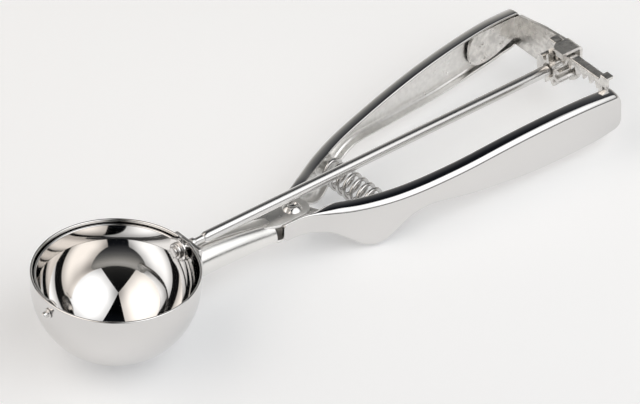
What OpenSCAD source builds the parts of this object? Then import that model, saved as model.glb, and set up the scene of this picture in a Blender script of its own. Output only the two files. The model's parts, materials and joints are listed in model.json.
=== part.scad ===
// Lever ice cream scoop: a half-round bowl whose wiper is turned by squeezing two handles.
// Millimetres. The scoop is drawn with the middle of the bowl at the origin, the rod along X
// and the rim facing up. place() then sets it down on its bowl and finger bumps.

/* [Bowl] */
// outside diameter of the bowl
bowl_d = 57; // [54:0.5:60]
// sheet thickness of the bowl
bowl_wall = 0.9; // [0.7:0.1:1.1]
// height of the rim above the rod's axis
rim_h = 4.3; // [3.9:0.1:5]
// width of the slot in the rim for the rod
rim_slot_w = 8.4; // [6:0.2:9]
// edge of that slot on the fixed handle's side, from the rod's plane
rim_slot_y = 1.7; // [1.6:0.1:2.2]
// depth of that slot below the rod's axis
rim_slot_drop = 1.8; // [1.5:0.1:3]

/* [Saddle and neck] */
// sheet thickness of the saddle
saddle_t = 1.1; // [0.8:0.1:1.4]
// radius of the saddle's round outline
saddle_r = 12.6; // [11:0.2:14]
// width of the rod's slot in the saddle
saddle_slot_w = 3.8; // [3.6:0.2:5]
// radius of the neck tube at the bowl
neck_r = 5.8; // [5:0.1:6]
// distance of the neck tube's centre below the rod's axis, at the bowl
neck_drop = 8.2; // [8:0.1:9]
// wall of the neck tube
neck_wall = 1; // [0.8:0.1:1.2]
// rear end of the neck tube, from the bowl's middle
neck_end = 64.5; // [62:0.5:65]
// top of the upper cheek, from the rod's axis
cheek_top = -5.6; // [-6:0.1:-5.4]
// underside of the lower cheek, from the rod's axis
cheek_low = -12.8; // [-13.2:0.1:-12.6]
// thickness of each cheek
cheek_t = 1; // [0.8:0.1:1]
// half width of the cheeks
cheek_r = 5; // [4.6:0.1:5]
// how far the middle of the cheeks' round end lies behind the pivot
cheek_over = 1.1; // [0:0.1:1.4]

/* [Pivot] */
// distance of the pivot from the bowl's middle
pivot_x = 75.3; // [75:0.1:76.4]
// diameter of the pivot rivet
rivet_d = 4; // [3.5:0.1:4.4]
// diameter of the rivet's heads
rivet_head_d = 7; // [6.4:0.1:7.4]
// height of the rivet's upper head
rivet_head_h = 1.6; // [1.2:0.1:1.8]
// thickness of the handles' lugs
lug_t = 0.9; // [0.7:0.1:0.9]
// radius of the handles' lugs
lug_r = 4.6; // [4:0.1:4.8]
// running clearance between the lever's lugs and their neighbours
lug_gap = 0.15; // [0.1:0.05:0.2]
// radial clearance of the lever's holes on the rivet
pivot_fit = 0.05; // [0.03:0.01:0.08]

/* [Handles] */
// sheet thickness of the handles
handle_t = 1; // [0.8:0.1:1.1]
// length of the handles in front of the pivot
handle_front = 8.5; // [8:0.1:9]
// length of the lever behind the pivot
lever_len = 117.7; // [116:0.1:119]
// length of the fixed handle behind the pivot
fixed_len = 120.3; // [120:0.1:121]
// half of the greatest width over both handles
half_spread = 31; // [30:0.5:33]
// top edge of the handles at the pivot, from the rod's axis
web_top = -5.4; // [-5.5:0.1:-5.2]
// highest point of the handles' top edge, from the rod's axis
tail_top = 6.2; // [5.8:0.1:6.6]
// lowest point of the handles' rear part, from the rod's axis
tail_low = -13.4; // [-14:0.1:-13]
// height of the finger bump below the lower edge
bump_h = 9.8; // [9:0.1:10.5]
// width of the upper flanges, measured from the outside of the web
flange_w = 5.4; // [5:0.1:5.8]
// width of the lower flanges, measured from the outside of the web
flange_low_w = 4; // [3.6:0.1:5]
// outside radius between web and flange
shoulder_r = 2.6; // [2:0.1:2.8]
// corner radius at the lever's rear end
lever_end_r = 2.6; // [2:0.1:3]
// corner radius at the fixed handle's rear end
fixed_end_r = 1.4; // [1:0.1:1.6]

/* [Rod and wiper] */
// diameter of the rod
rod_d = 4; // [3.6:0.1:4.2]
// diameter of the rod's thin front journal
journal_d = 2.5; // [2.3:0.1:2.6]
// diameter of the rod's rear journal
tail_d = 3; // [2.6:0.1:3.2]
// where the full rod starts
rod_start = 36.8; // [36:0.1:38]
// radial clearance of the rod and the blade pin in their holes
rod_fit = 0.05; // [0.03:0.01:0.08]
// thickness of the upright front bearing
bearing_t = 1.5; // [1.2:0.1:1.6]
// half width of the front bearing
bearing_w = 6.8; // [6:0.1:7]
// width of the wiper blade
blade_w = 6.4; // [5.5:0.1:7]
// thickness of the wiper blade
blade_t = 0.8; // [0.6:0.1:0.9]
// clearance between blade and bowl
blade_gap = 0.35; // [0.3:0.05:0.5]
// radius of the blade's round eyes
blade_eye_r = 4.2; // [3.6:0.1:4.2]
// diameter of the pin at the blade's far end
pin_d = 2.2; // [2:0.1:2.4]
// length of that pin outside the bowl
pin_out = 2.5; // [2:0.1:3]

/* [Pinion and rack] */
// size of the teeth, pitch diameter over number of teeth
tooth_module = 1.1; // [1.08:0.01:1.12]
// number of teeth that would fill the whole pinion
pinion_teeth = 9; // [9:1:9]
// length of the pinion
pinion_len = 7.6; // [7:0.1:7.6]
// front face of the pinion, from the bowl's middle
pinion_x = 187; // [186.9:0.1:187.1]
// front face of the rack, from the bowl's middle
rack_x = 189.7; // [189.4:0.1:190]
// height of the rack teeth above and below the pitch line
tooth_add = 1.2; // [1:0.05:1.25]
// thickness of a rack tooth on the pitch line
tooth_w = 1.55; // [1.4:0.05:1.6]
// sheet thickness of the rack
rack_t = 1.2; // [1:0.1:1.3]
// top of the rack's flange, from the rod's axis
rack_top = 8.3; // [8.2:0.1:8.4]
// width of the rack's flange
rack_flange = 3.1; // [2.6:0.1:3.2]

/* [Bridge] */
// sheet thickness of the bridge
bridge_t = 1.2; // [1:0.1:1.2]
// front face of the bridge's cross strip, from the bowl's middle
bridge_x = 195; // [194.9:0.1:195.2]
// distance of the bridge's welded leg from the rod's plane
bridge_y = 27; // [26.5:0.1:27.2]
// radius of the rear bearing ear
ear_r = 7; // [6:0.1:7.2]

/* [Spring] */
// mean radius of the coils
coil_r = 4.3; // [4.1:0.1:4.4]
// diameter of the wire
wire_d = 1.5; // [1.2:0.1:1.6]
// number of coils
coils = 7; // [6:1:8]
// distance of the spring from the bowl's middle
spring_x = 102; // [101:0.5:103]
// distance of the spring's axis below the rod's axis
spring_drop = 9.6; // [9.4:0.1:9.8]
// distance of each seat's face from the rod's plane
seat_y = 15.2; // [14.5:0.1:15.4]

/* [Node] */
// which sub-part to draw

/* [Hidden] */
$fn = 72;
polished = [0.80, 0.81, 0.82];
satin = [0.68, 0.68, 0.67];
bowl_r = bowl_d / 2;
bowl_in = bowl_r - bowl_wall;
touch = 0.05;
pitch_r = tooth_module * pinion_teeth / 2;
tooth_pitch = PI * tooth_module;
tooth_root = 1.25;
flank = tan(20);
tooth_lead = 1.1;
bend = .5;
mesh_gap = .2;
pin_end = bowl_r + pin_out;
tail_end = bridge_x + bridge_t + 1.8;
blade_out = bowl_in - blade_gap;
blade_in = blade_out - blade_t;

// the rod's thin journal starts in front of the blade's eye, with its head before it
journal_x = blade_in - 1.55;
rod_head = 0.7;
hub_x = journal_x + touch;

// heights of the lugs, stacked between the cheeks
lever_lug_top = cheek_top - cheek_t - lug_gap;
fixed_lug_top = lever_lug_top - lug_t - lug_gap;
lever_lug_low = cheek_low + cheek_t + lug_gap;
fixed_lug_low = lever_lug_low + lug_t + lug_gap;

// The handles' curves. Each row is a fraction of the handle's length, then the value there.
plan_rows = [[0, .206], [.035, .206], [.065, .209], [.09, .24], [.112, .294], [.135, .352],
             [.18, .452], [.23, .548], [.28, .626], [.325, .682], [.37, .726], [.42, .766],
             [.51, .827], [.61, .877], [.7, .915], [.8, .953], [.89, .983], [.95, .996], [1, 1]];
top_rows = [[0, 0], [.09, 0], [.112, .04], [.135, .09], [.18, .11], [.23, .155], [.28, .205],
            [.325, .26], [.37, .32], [.42, .395], [.51, .545], [.61, .725], [.7, .855],
            [.8, .955], [.89, 1], [.95, .985], [1, .95]];
low_rows = [[0, .94], [.04, .95], [.073, .975], [.105, 1], [.16, .97], [.23, .93], [.3, .88],
            [.38, .85], [.42, .845], [.47, .895], [.517, .94], [.58, .97], [.66, 1],
            [.72, 1.005], [.8, .963], [.865, .91], [.93, .843], [.97, .77], [1, .74]];
bump_rows = [[0, 0], [.08, 0], [.105, .03], [.136, .17], [.16, .39], [.184, .62], [.208, .86],
             [.231, 1], [.255, 1], [.279, .85], [.303, .59], [.326, .33], [.35, .15],
             [.382, .03], [.42, 0], [1, 0]];
width_rows = [[0, 0], [.09, 0], [.112, .26], [.135, .44], [.18, .65], [.23, .86], [.28, .97],
              [.35, 1], [1, 1]];
shoulder_rows = [[0, .2], [.09, .2], [.112, .54], [.135, .84], [.18, 1], [1, 1]];

function row_at(t, u, i = 0) = i >= len(t) - 2 || u < t[i + 1][0] ? i : row_at(t, u, i + 1);
function row_slope(t, i) =
    let(a = t[max(i - 1, 0)], b = t[min(i + 1, len(t) - 1)]) (b[1] - a[1]) / (b[0] - a[0]);
// smooth cubic through the rows of a table
function curve(t, u) =
    let(i = row_at(t, u), a = t[i], b = t[i + 1], h = b[0] - a[0], s = (u - a[0]) / h)
    (2 * s * s * s - 3 * s * s + 1) * a[1] + (s * s * s - 2 * s * s + s) * h * row_slope(t, i)
    + (3 * s * s - 2 * s * s * s) * b[1] + (s * s * s - s * s) * h * row_slope(t, i + 1);

// a handle of total length l: place along X, distance of the web's outside from the rod's
// plane, and the heights of its edges, at the fraction u
function web_x(l, u) = pivot_x - handle_front + l * u;
function web_y(u) = half_spread * curve(plan_rows, u);
function web_dir(l, u) = let(e = .004) atan2(web_y(u + e) - web_y(u - e), 2 * e * l);
function end_cut(r, d) = d >= r ? 0 : r - sqrt(r * r - pow(r - d, 2));
function edge_top(l, u) = web_top + (tail_top - web_top) * curve(top_rows, u);
function edge_low(l, u) = tail_low * curve(low_rows, u) - bump_h * curve(bump_rows, u);
function frac_at(l, x) = (x - pivot_x + handle_front) / l;
function web_in(l, x) = let(u = frac_at(l, x)) web_y(u) - handle_t / cos(web_dir(l, u));

// The bridge's leg follows the web of the fixed handle: bridge_y holds for a web whose inside
// passes drawn_web from the rod's plane at leg_middle.
leg_middle = 184;
drawn_web = 29.634;
leg_y = bridge_y + web_in(handle_front + fixed_len, leg_middle) - drawn_web;
echo(leg_y = leg_y);

// one cross-section of a handle: the outside from the upper free edge round the web to the
// lower free edge, then the inside back again
arc_steps = 5;
function section(l, end_r, u) =
    let(y = web_y(u), a = web_dir(l, u), cut = end_cut(end_r, l * (1 - u)),
        zt = edge_top(l, u) - cut - end_cut(1.2, l * u),
        zb = edge_low(l, u) + cut + end_cut(2.4, l * u),
        least = handle_t + .15, wide = curve(width_rows, u),
        w = least + (flange_w - least) * wide, v = least + (flange_low_w - least) * wide,
        r = shoulder_r * curve(shoulder_rows, u), q = max(r - handle_t, .05),
        quarter = [for (k = [0 : arc_steps]) 90 * k / arc_steps],
        pairs = concat(
            [[-w, zt]],
            [for (k = quarter) [-r + r * sin(k), zt - r + r * cos(k)]],
            [for (k = quarter) [-r + r * cos(k), zb + r - r * sin(k)]],
            [[-v, zb]], [[-v, zb + handle_t]],
            [for (k = quarter)
                [-handle_t - q + q * sin(k), zb + handle_t + q - q * cos(k)]],
            [for (k = quarter)
                [-handle_t - q + q * cos(k), zt - handle_t - q + q * sin(k)]],
            [[-w, zt - handle_t]]))
    [for (p = pairs) [web_x(l, u) - p[0] * sin(a), y + p[0] * cos(a), p[1]]];

even_steps = 46;
function stations(l, end_r) =
    let(first = .07, last = 1 - end_r / l)
    concat([for (d = [0, .1, .35, .7, 1.1, 1.6, 2.4, 4, 6]) d / l],
           [for (k = [0 : even_steps]) first + (last - first) * k / even_steps],
           [for (d = [.75, .5, .28, .1, 0]) 1 - end_r * d / l]);

module loft(rings) {
    n = len(rings[0]);
    m = len(rings);
    half = n / 2;
    points = [for (r = rings) for (p = r) p];
    sides = [for (k = [0 : m - 2]) for (i = [0 : n - 1])
        let(a = k * n + i, b = k * n + (i + 1) % n) each [[a, b, b + n], [a, b + n, a + n]]];
    front = [for (i = [0 : half - 2]) [i + 1, i, n - 1 - i, n - 2 - i]];
    rear = [for (f = front) [for (j = [3 : -1 : 0]) f[j] + (m - 1) * n]];
    polyhedron(points, concat(sides, front, rear));
}

module handle_shell(l, end_r) {
    loft([for (u = stations(l, end_r)) section(l, end_r, u)]);
}

// flat lug from the rivet to the web at positive Y
module lug(top, l) {
    translate([pivot_x, 0, top - lug_t])
        linear_extrude(lug_t)
            union() {
                circle(r = lug_r);
                polygon([for (d = [-5.5, 0, 5, 10]) [d, web_in(l, pivot_x + d) + handle_t / 2]]);
                polygon([[-5.5, web_in(l, pivot_x - 5.5) + handle_t / 2], [-lug_r, 0],
                         [lug_r, 0], [9, 7], [10, web_in(l, pivot_x + 10) + handle_t / 2]]);
            }
}

module pivot_hole(r) {
    translate([pivot_x, 0, -30]) cylinder(r = r, h = 40);
}

// The scoop lies on its bowl and finger bumps: the tilt that brings both to the same level.
function rest_angle(l, u) =
    let(x = web_x(l, u), z = edge_low(l, u)) asin(bowl_r / norm([x, z])) - atan2(-z, x);
tilt = min([for (l = [lever_len, fixed_len]) for (u = [.1 : .005 : .4])
    rest_angle(l + handle_front, u)]);
middle_x = ((tail_end - pin_end) * cos(tilt) + (tail_d - pin_d) / 2 * sin(tilt)) / 2;

module place() {
    translate([-middle_x, 0, bowl_r]) rotate([0, tilt, 0]) children();
}

module along_x(x0, x1, r) {
    translate([x0, 0, 0]) rotate([0, 90, 0]) cylinder(r = r, h = x1 - x0);
}

module bowl() {
    color(polished) place() difference() {
        rotate_extrude($fn = 144)
            intersection() {
                difference() {
                    union() {
                        circle(r = bowl_r);
                        translate([-bowl_r, 0]) square([bowl_d, rim_h]);
                    }
                    circle(r = bowl_in);
                    translate([-bowl_in, 0]) square([2 * bowl_in, rim_h + 30]);
                }
                translate([0, -bowl_r - 1]) square([bowl_r + 1, bowl_r + 1 + rim_h]);
            }
        translate([bowl_in - 6, rim_slot_y - rim_slot_w, -rim_slot_drop])
            cube([10, rim_slot_w, rim_slot_drop + rim_h + 1]);
        along_x(-bowl_r - 2, -bowl_in + 2, pin_d / 2 + rod_fit);
    }
}

module saddle() {
    top = rim_h - 1;
    inner = bowl_r + touch;
    color(polished) place() difference() {
        intersection() {
            rotate([0, 0, -40])
                rotate_extrude(angle = 80, $fn = 144)
                    intersection() {
                        difference() {
                            union() {
                                circle(r = inner + saddle_t);
                                square([inner + saddle_t, top]);
                            }
                            circle(r = inner);
                            square([inner, top + 1]);
                        }
                        translate([0, -bowl_r]) square([bowl_d, bowl_r + top]);
                    }
            translate([0, 0, top - 6]) along_x(0, bowl_d, saddle_r);
        }
        translate([bowl_in, -saddle_slot_w / 2, -rim_slot_drop])
            cube([10, saddle_slot_w, rim_h + rim_slot_drop]);
    }
}

// a rounded rectangle across X: half width, top, bottom and corner radius
function neck_ring(x, w, top, low, r) =
    [for (c = [[w, top, 0], [-w, top, 90], [-w, low, 180], [w, low, 270]])
        for (k = [0 : 5])
            [x, c[0] - sign(c[0]) * r + r * cos(c[2] + 18 * k),
             c[1] - (c[2] < 180 ? 1 : -1) * r + r * sin(c[2] + 18 * k)]];

// the neck's rows: place along X, narrowing, top, bottom and corner radius
tube_top = neck_r - neck_drop;
tube_low = -neck_r - neck_drop;
neck_rows = [[24, 0, 0, 1], [32, 0, 0, 1], [38, .06, .04, .97], [43, .16, .1, .92],
             [48, .31, .22, .84], [53, .5, .4, .74], [58, .74, .66, .6], [62, .93, .9, .5],
             [neck_end, 1, 1, .46]];
function neck_rings(inset, over) =
    [for (i = [0 : len(neck_rows) - 1])
        let(r = neck_rows[i], x = r[0] + (i == 0 ? -over : i == len(neck_rows) - 1 ? over : 0),
            w = neck_r - .2 * r[1])
        neck_ring(x, w - inset, tube_top + (cheek_top - tube_top) * r[1] - inset,
                  tube_low + (cheek_low - tube_low) * r[2] + inset,
                  (neck_r - .01) * r[3] - inset)];

module tube_loft(rings) {
    n = len(rings[0]);
    m = len(rings);
    points = [for (r = rings) for (p = r) p];
    sides = [for (k = [0 : m - 2]) for (i = [0 : n - 1])
        let(a = k * n + i, b = k * n + (i + 1) % n) each [[b, a, b + n], [b + n, a, a + n]]];
    polyhedron(points, concat(sides, [[for (i = [0 : n - 1]) i]],
                              [[for (i = [n - 1 : -1 : 0]) (m - 1) * n + i]]));
}

module cheek(z) {
    rear = pivot_x + cheek_over;
    translate([0, 0, z])
        linear_extrude(cheek_t)
            union() {
                translate([rear, 0]) circle(r = cheek_r);
                polygon([[neck_end - 4.5, -2.6], [neck_end + 1.5, -cheek_r],
                         [rear, -cheek_r], [rear, cheek_r],
                         [neck_end + 1.5, cheek_r], [neck_end - 4.5, 2.6]]);
            }
}

module neck() {
    color(polished) place() difference() {
        union() {
            difference() {
                tube_loft(neck_rings(0, 0));
                tube_loft(neck_rings(neck_wall, 1));
            }
            cheek(cheek_top - cheek_t);
            cheek(cheek_low);
        }
        sphere(r = bowl_r + saddle_t + 2 * touch, $fn = 144);
        pivot_hole(rivet_d / 2 + touch / 2);
    }
}

bearing_x = bowl_r + saddle_t + .2;
module rod_bearing() {
    high = journal_d / 2 + .75;
    corner = .6;
    color(satin) place() difference() {
        cross_plate(bearing_x, bearing_t) union() {
            translate([-bearing_w, -1.6]) square([2 * bearing_w, high + 1.6 - corner]);
            translate([corner - bearing_w, 0]) square([2 * (bearing_w - corner), high]);
            for (y = [corner - bearing_w, bearing_w - corner])
                translate([y, high - corner]) circle(r = corner);
            translate([-neck_r, -5]) square([2 * neck_r, 5]);
        }
        translate([0, 0, -neck_drop]) along_x(bearing_x - 1, bearing_x + 4, neck_r + touch / 2);
        along_x(bearing_x - 1, bearing_x + 4, journal_d / 2 + rod_fit);
    }
}

module fixed_handle() {
    l = handle_front + fixed_len;
    color(polished) place() difference() {
        union() {
            handle_shell(l, fixed_end_r);
            lug(fixed_lug_top, l);
            lug(fixed_lug_low + lug_t, l);
        }
        pivot_hole(rivet_d / 2 + touch / 2);
    }
}

module lever_handle() {
    l = handle_front + lever_len;
    color(polished) place() difference() {
        mirror([0, 1, 0]) union() {
            handle_shell(l, lever_end_r);
            lug(lever_lug_top, l);
            lug(lever_lug_low + lug_t, l);
        }
        pivot_hole(rivet_d / 2 + pivot_fit);
    }
}

// draws a flat shape, given as Y and Z, as a plate that starts at x
module cross_plate(x, t) {
    translate([x, 0, 0]) rotate([90, 0, 90]) linear_extrude(t) children();
}

hook_left = -.4;
hook_right = -6.9;
hook_top = 10.2;
hook_x = 187.2;
leg_low = -8.2;
leg_high = 3;
spot_places = [[180.3, -1.8], [189.2, -4.7], [181.3, -8.2]];

module gear_bridge() {
    leg_rows = [[bridge_x, leg_high], [179, leg_high], [176.8, 2.3], [175.6, .6], [175.1, -1.5],
                [175, -4], [175.3, -6.4], [176.1, -8.3], [177.6, -9.6], [179.8, -10.2],
                [183, -10.2], [186.5, -9.4], [190, -8], [bridge_x, -5.8]];
    fold_h = leg_high - leg_low;
    hook_w = hook_left - hook_right;
    hook_fold = 2;
    color(satin) place() difference() {
        union() {
            cross_plate(bridge_x, bridge_t) union() {
                polygon([[leg_y, leg_low], [leg_y, leg_high], [leg_y - 2, 4.7], [leg_y - 15, 7.2],
                         [1.5, hook_top - hook_fold], [hook_right, hook_top - hook_fold],
                         [hook_right, 0], [-5, -3], [3, -5.8], [leg_y - 11.5, leg_low]]);
                circle(r = ear_r);
            }
            translate([0, leg_y + bridge_t, 0]) rotate([90, 0, 0])
                linear_extrude(bridge_t) polygon(leg_rows);
            intersection() {
                translate([bridge_x, leg_y, leg_low]) cylinder(r = bridge_t, h = fold_h);
                translate([bridge_x, leg_y, leg_low]) cube([bridge_t, bridge_t, fold_h]);
            }
            intersection() {
                translate([bridge_x + bridge_t - hook_fold, hook_left, hook_top - hook_fold])
                    rotate([90, 0, 0]) difference() {
                        cylinder(r = hook_fold, h = hook_w);
                        translate([0, 0, -1]) cylinder(r = hook_fold - bridge_t, h = hook_w + 2);
                    }
                translate([bridge_x + bridge_t - hook_fold, hook_right, hook_top - hook_fold])
                    cube([hook_fold, hook_w, hook_fold]);
            }
            translate([0, 0, hook_top - bridge_t]) linear_extrude(bridge_t) union() {
                translate([hook_x + 3, hook_right])
                    square([bridge_x + bridge_t - hook_fold - hook_x - 3, hook_w]);
                translate([hook_x, hook_right]) square([4, hook_w - 3]);
                translate([hook_x + 3, hook_left - 3]) circle(r = 3);
            }
            translate([hook_x, hook_right, hook_top - 2.4]) cube([1, hook_w - 3, 2]);
        }
        along_x(bridge_x - 1, bridge_x + 3, tail_d / 2 + rod_fit);
        for (s = spot_places)
            translate([s[0], leg_y + .3, s[1]]) rotate([90, 0, 0]) cylinder(r = 1, h = 2);
    }
}

module bridge_welds() {
    color(satin) place() for (s = spot_places) {
        seat = web_in(handle_front + fixed_len, s[0]) - 3 * touch;
        translate([s[0], seat, s[1]]) rotate([90, 0, 0])
            cylinder(r = 1.6, h = seat - leg_y - bridge_t);
    }
}

// domed head: a slice of a ball, h high on a circle of diameter d
module dome(d, h) {
    ball = (d * d / 4 + h * h) / (2 * h);
    intersection() {
        translate([0, 0, h - ball]) sphere(r = ball);
        cylinder(d = d + 1, h = h + 1);
    }
}

module pivot_rivet() {
    low_head_h = 1.1;
    color(polished) place() translate([pivot_x, 0, 0]) union() {
        translate([0, 0, cheek_low - touch / 2])
            cylinder(d = rivet_d, h = cheek_top - cheek_low + touch);
        translate([0, 0, cheek_top + touch / 2]) difference() {
            dome(rivet_head_d, rivet_head_h);
            translate([0, 0, rivet_head_h + 1.8]) sphere(r = 2.8);
        }
        translate([0, 0, cheek_low - touch / 2]) mirror([0, 0, 1])
            dome(rivet_head_d, low_head_h);
    }
}

module pivot_spacer() {
    low = fixed_lug_low + lug_t + touch / 2;
    high = fixed_lug_top - lug_t - touch / 2;
    color(satin) place() translate([pivot_x, 0, low]) difference() {
        cylinder(r = rivet_d / 2 + 1, h = high - low);
        translate([0, 0, -1]) cylinder(r = rivet_d / 2 + touch / 2, h = high - low + 2);
    }
}

// spring seat at positive Y, cut to the slope of the web behind it
module spring_seat(l) {
    u = frac_at(l, spring_x);
    peg_r = coil_r - wire_d / 2 - .45;
    intersection() {
        translate([spring_x, seat_y, -spring_drop]) rotate([-90, 0, 0]) union() {
            cylinder(r = 4.4, h = 8);
            translate([0, 0, -2.6]) cylinder(r = peg_r, h = 3);
        }
        translate([spring_x, web_in(l, spring_x) - .15, -spring_drop])
            rotate([0, 0, web_dir(l, u)]) translate([-20, -20, -10]) cube([40, 20, 20]);
    }
}

module spring_seat_fixed() {
    color(satin) place() spring_seat(handle_front + fixed_len);
}

module spring_seat_lever() {
    color(satin) place() mirror([0, 1, 0]) spring_seat(handle_front + lever_len);
}

// one rack tooth as a flat shape, pointing down, drawn wider by c on each side
module tooth_shape(c, up) {
    tip = pitch_r - tooth_add - (c > 0 ? .25 : 0);
    w0 = tooth_w / 2 - tooth_add * flank + c;
    w1 = tooth_w / 2 + up * flank + c;
    polygon([[-w0, tip], [w0, tip], [w1, pitch_r + up], [-w1, pitch_r + up]]);
}

// strip bent back along X at the top of the rack, between two places along Y
module rack_lip(y0, y1, top, reach) {
    translate([rack_x, y1, 0]) rotate([90, 0, 0]) linear_extrude(y1 - y0) union() {
        translate([bend, top - bend]) circle(r = bend);
        translate([bend, top - rack_lip_t]) square([reach - bend, rack_lip_t]);
        translate([0, top - 2 * rack_lip_t]) square([rack_t, 2 * rack_lip_t - bend]);
    }
}

rack_lip_t = 1.1;
rack_end = 4.25;
rack_leg = -22.6;
stop_top = hook_top;
stop_w = 3.2;
open_stop = hook_left + .3;
closed_stop = -23.4;

module rack() {
    low = pitch_r + tooth_root;
    corner = 2.6;
    leg_end = -web_in(handle_front + lever_len, rack_x) + 2 * touch + rack_t;
    color(satin) place() union() {
        cross_plate(rack_x, rack_t) union() {
            translate([rack_leg - 2, low]) square([rack_end - rack_leg + 2, rack_top - low - bend]);
            translate([rack_end - corner, stop_top - .3 - corner]) intersection() {
                circle(r = corner);
                translate([0, -1]) square(corner + 1);
            }
            translate([open_stop, low]) square([rack_end - open_stop, stop_top - .3 - corner - low]);
            translate([open_stop, low]) square([rack_end - open_stop - corner, stop_top - 1 - low]);
            for (k = [-1 : 6]) translate([-tooth_lead - k * tooth_pitch, 0])
                tooth_shape(0, tooth_root + .01);
            translate([rack_leg - 2, -7.5]) square([2, rack_top + 7]);
            translate([closed_stop - stop_w, low])
                square([rack_leg - closed_stop + stop_w, stop_top - 1.5 - low]);
            translate([leg_end, -7.5]) square([rack_leg - leg_end, 11.5]);
        }
        rack_lip(-22.3, -6.5, rack_top, rack_flange);
        rack_lip(open_stop, open_stop + stop_w, stop_top, rack_flange + .2);
        rack_lip(closed_stop - stop_w, closed_stop, stop_top, rack_flange);
    }
}

// the bracket lies on the chord of the lever's curved web
module on_lever_web() {
    l = handle_front + lever_len;
    a = atan2(web_in(l, bracket_x + bracket_len) - web_in(l, bracket_x), bracket_len);
    mirror([0, 1, 0]) translate([bracket_x, web_in(l, bracket_x) - touch, 0])
        rotate([0, 0, a]) children();
}

bracket_x = 173.5;
bracket_len = rack_x + rack_t - bracket_x;
bracket_places = [[3.5, -4.8], [3.5, 1], [10.5, -4.8], [10.5, 1]];
module rack_bracket() {
    color(satin) place() on_lever_web() difference() {
        translate([0, -rack_t, -7.5]) cube([bracket_len, rack_t, 11.5]);
        for (s = bracket_places)
            translate([s[0], .3 - rack_t, s[1]]) rotate([90, 0, 0]) cylinder(r = 1, h = 2);
    }
}

module rack_welds() {
    color(satin) place() on_lever_web() for (s = bracket_places)
        translate([s[0], .3 - rack_t, s[1]]) rotate([90, 0, 0]) cylinder(r = .95, h = .45);
}

module drive_rod() {
    color(polished) place() union() {
        along_x(journal_x, rod_start, journal_d / 2);
        along_x(journal_x - rod_head, journal_x, journal_d / 2 + .6);
        along_x(bearing_x + bearing_t + .3, bearing_x + bearing_t + 1.8, rod_d / 2 - .1);
        translate([rod_start, 0, 0]) rotate([0, 90, 0])
            cylinder(r1 = rod_d / 2 - .45, r2 = rod_d / 2, h = 1.2);
        along_x(rod_start + 1.2, pinion_x + pinion_len, rod_d / 2);
        along_x(pinion_x + pinion_len, tail_end, tail_d / 2);
    }
}

module pinion() {
    gaps = [-1, 0, 1, 2, 3, 4, 5];
    step = 360 / pinion_teeth;
    first = tooth_lead / pitch_r * 180 / PI;
    color(satin) place() difference() {
        cross_plate(pinion_x, pinion_len) difference() {
            circle(r = pitch_r + tooth_module);
            for (k = gaps)
                rotate(first + k * step)
                    for (roll = [-56 : 8 : 56])
                        rotate(roll) translate([roll * PI / 180 * pitch_r, 0])
                            tooth_shape(mesh_gap, tooth_root + .4);
            circle(r = rod_d / 2 + .01);
        }
        along_x(pinion_x - 1, pinion_x + 1, rod_d / 2 + .7);
    }
}

module rod_clip() {
    x = bridge_x + bridge_t + .3;
    color(satin) place() difference() {
        along_x(x, x + .8, tail_d / 2 + 1.2);
        along_x(x - 1, x + 2, tail_d / 2 + .01);
    }
}

module wiper_blade() {
    color(polished) place() difference() {
        intersection() {
            difference() {
                sphere(r = blade_out, $fn = 144);
                sphere(r = blade_in, $fn = 144);
            }
            union() {
                translate([-bowl_r, 0, -blade_w / 2]) cube([bowl_d, bowl_r, blade_w]);
                along_x(-bowl_r, bowl_r, blade_eye_r);
            }
        }
        along_x(-bowl_r, 0, pin_d / 2 + .01);
        along_x(0, bowl_r, journal_d / 2 + .01);
    }
}

module blade_hub() {
    color(satin) place() difference() {
        along_x(hub_x, blade_in - .18, 2.8);
        along_x(hub_x - 1, bowl_r, journal_d / 2 + .01);
    }
}

module blade_pin() {
    head_x = blade_in - .2;
    color(polished) place() union() {
        along_x(-pin_end, -head_x, pin_d / 2);
        along_x(-head_x, -head_x + .7, pin_d / 2 + 1.1);
    }
}

module pin_washer() {
    x = -bowl_r - .1;
    color(satin) place() difference() {
        along_x(x - .6, x, pin_d / 2 + .75);
        along_x(x - 1, x + 1, pin_d / 2 + .01);
    }
}

// The spring: coils about an axis along Y, with both wire ends turned straight onto the seats.
bend_r = wire_d;
bend_steps = [0, 30, 60, 90];
coil_len = 2 * (seat_y - touch - wire_d - bend_r);
coil_rise = coil_len / (360 * coils);
coil_dir = atan2(coil_len, 2 * PI * coil_r * coils);
function coil_out(a) = [cos(a), 0, sin(a)];
function coil_tan(a) = [-sin(a) * cos(coil_dir), -sin(coil_dir), cos(a) * cos(coil_dir)];
function coil_at(a) =
    [spring_x + coil_r * cos(a), coil_len / 2 - coil_rise * a, -spring_drop + coil_r * sin(a)];
function flip(v) = [for (i = [len(v) - 1 : -1 : 0]) v[i]];
coil_step = 45;
coil_turn = 360 * coils;
// rows of point, direction and outward direction along the wire, from +Y to -Y
start_bend = [for (b = flip(bend_steps))
    let(t = coil_tan(0), y = [0, -1, 0])
    [coil_at(0) - bend_r * (sin(b) * t + (1 - cos(b)) * y), cos(b) * t + sin(b) * y,
     coil_out(0)]];
end_bend = [for (b = bend_steps)
    let(t = coil_tan(coil_turn), y = [0, -1, 0])
    [coil_at(coil_turn) + bend_r * (sin(b) * t + (1 - cos(b)) * y), cos(b) * t + sin(b) * y,
     coil_out(coil_turn)]];
wire_rows = concat(
    [[[start_bend[0][0][0], seat_y - touch, start_bend[0][0][2]], [0, -1, 0], coil_out(0)]],
    start_bend,
    [for (a = [coil_step : coil_step : coil_turn - coil_step]) [coil_at(a), coil_tan(a), coil_out(a)]],
    end_bend,
    [[[end_bend[3][0][0], touch - seat_y, end_bend[3][0][2]], [0, -1, 0], coil_out(0)]]);
wire_sides = 6;
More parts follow.
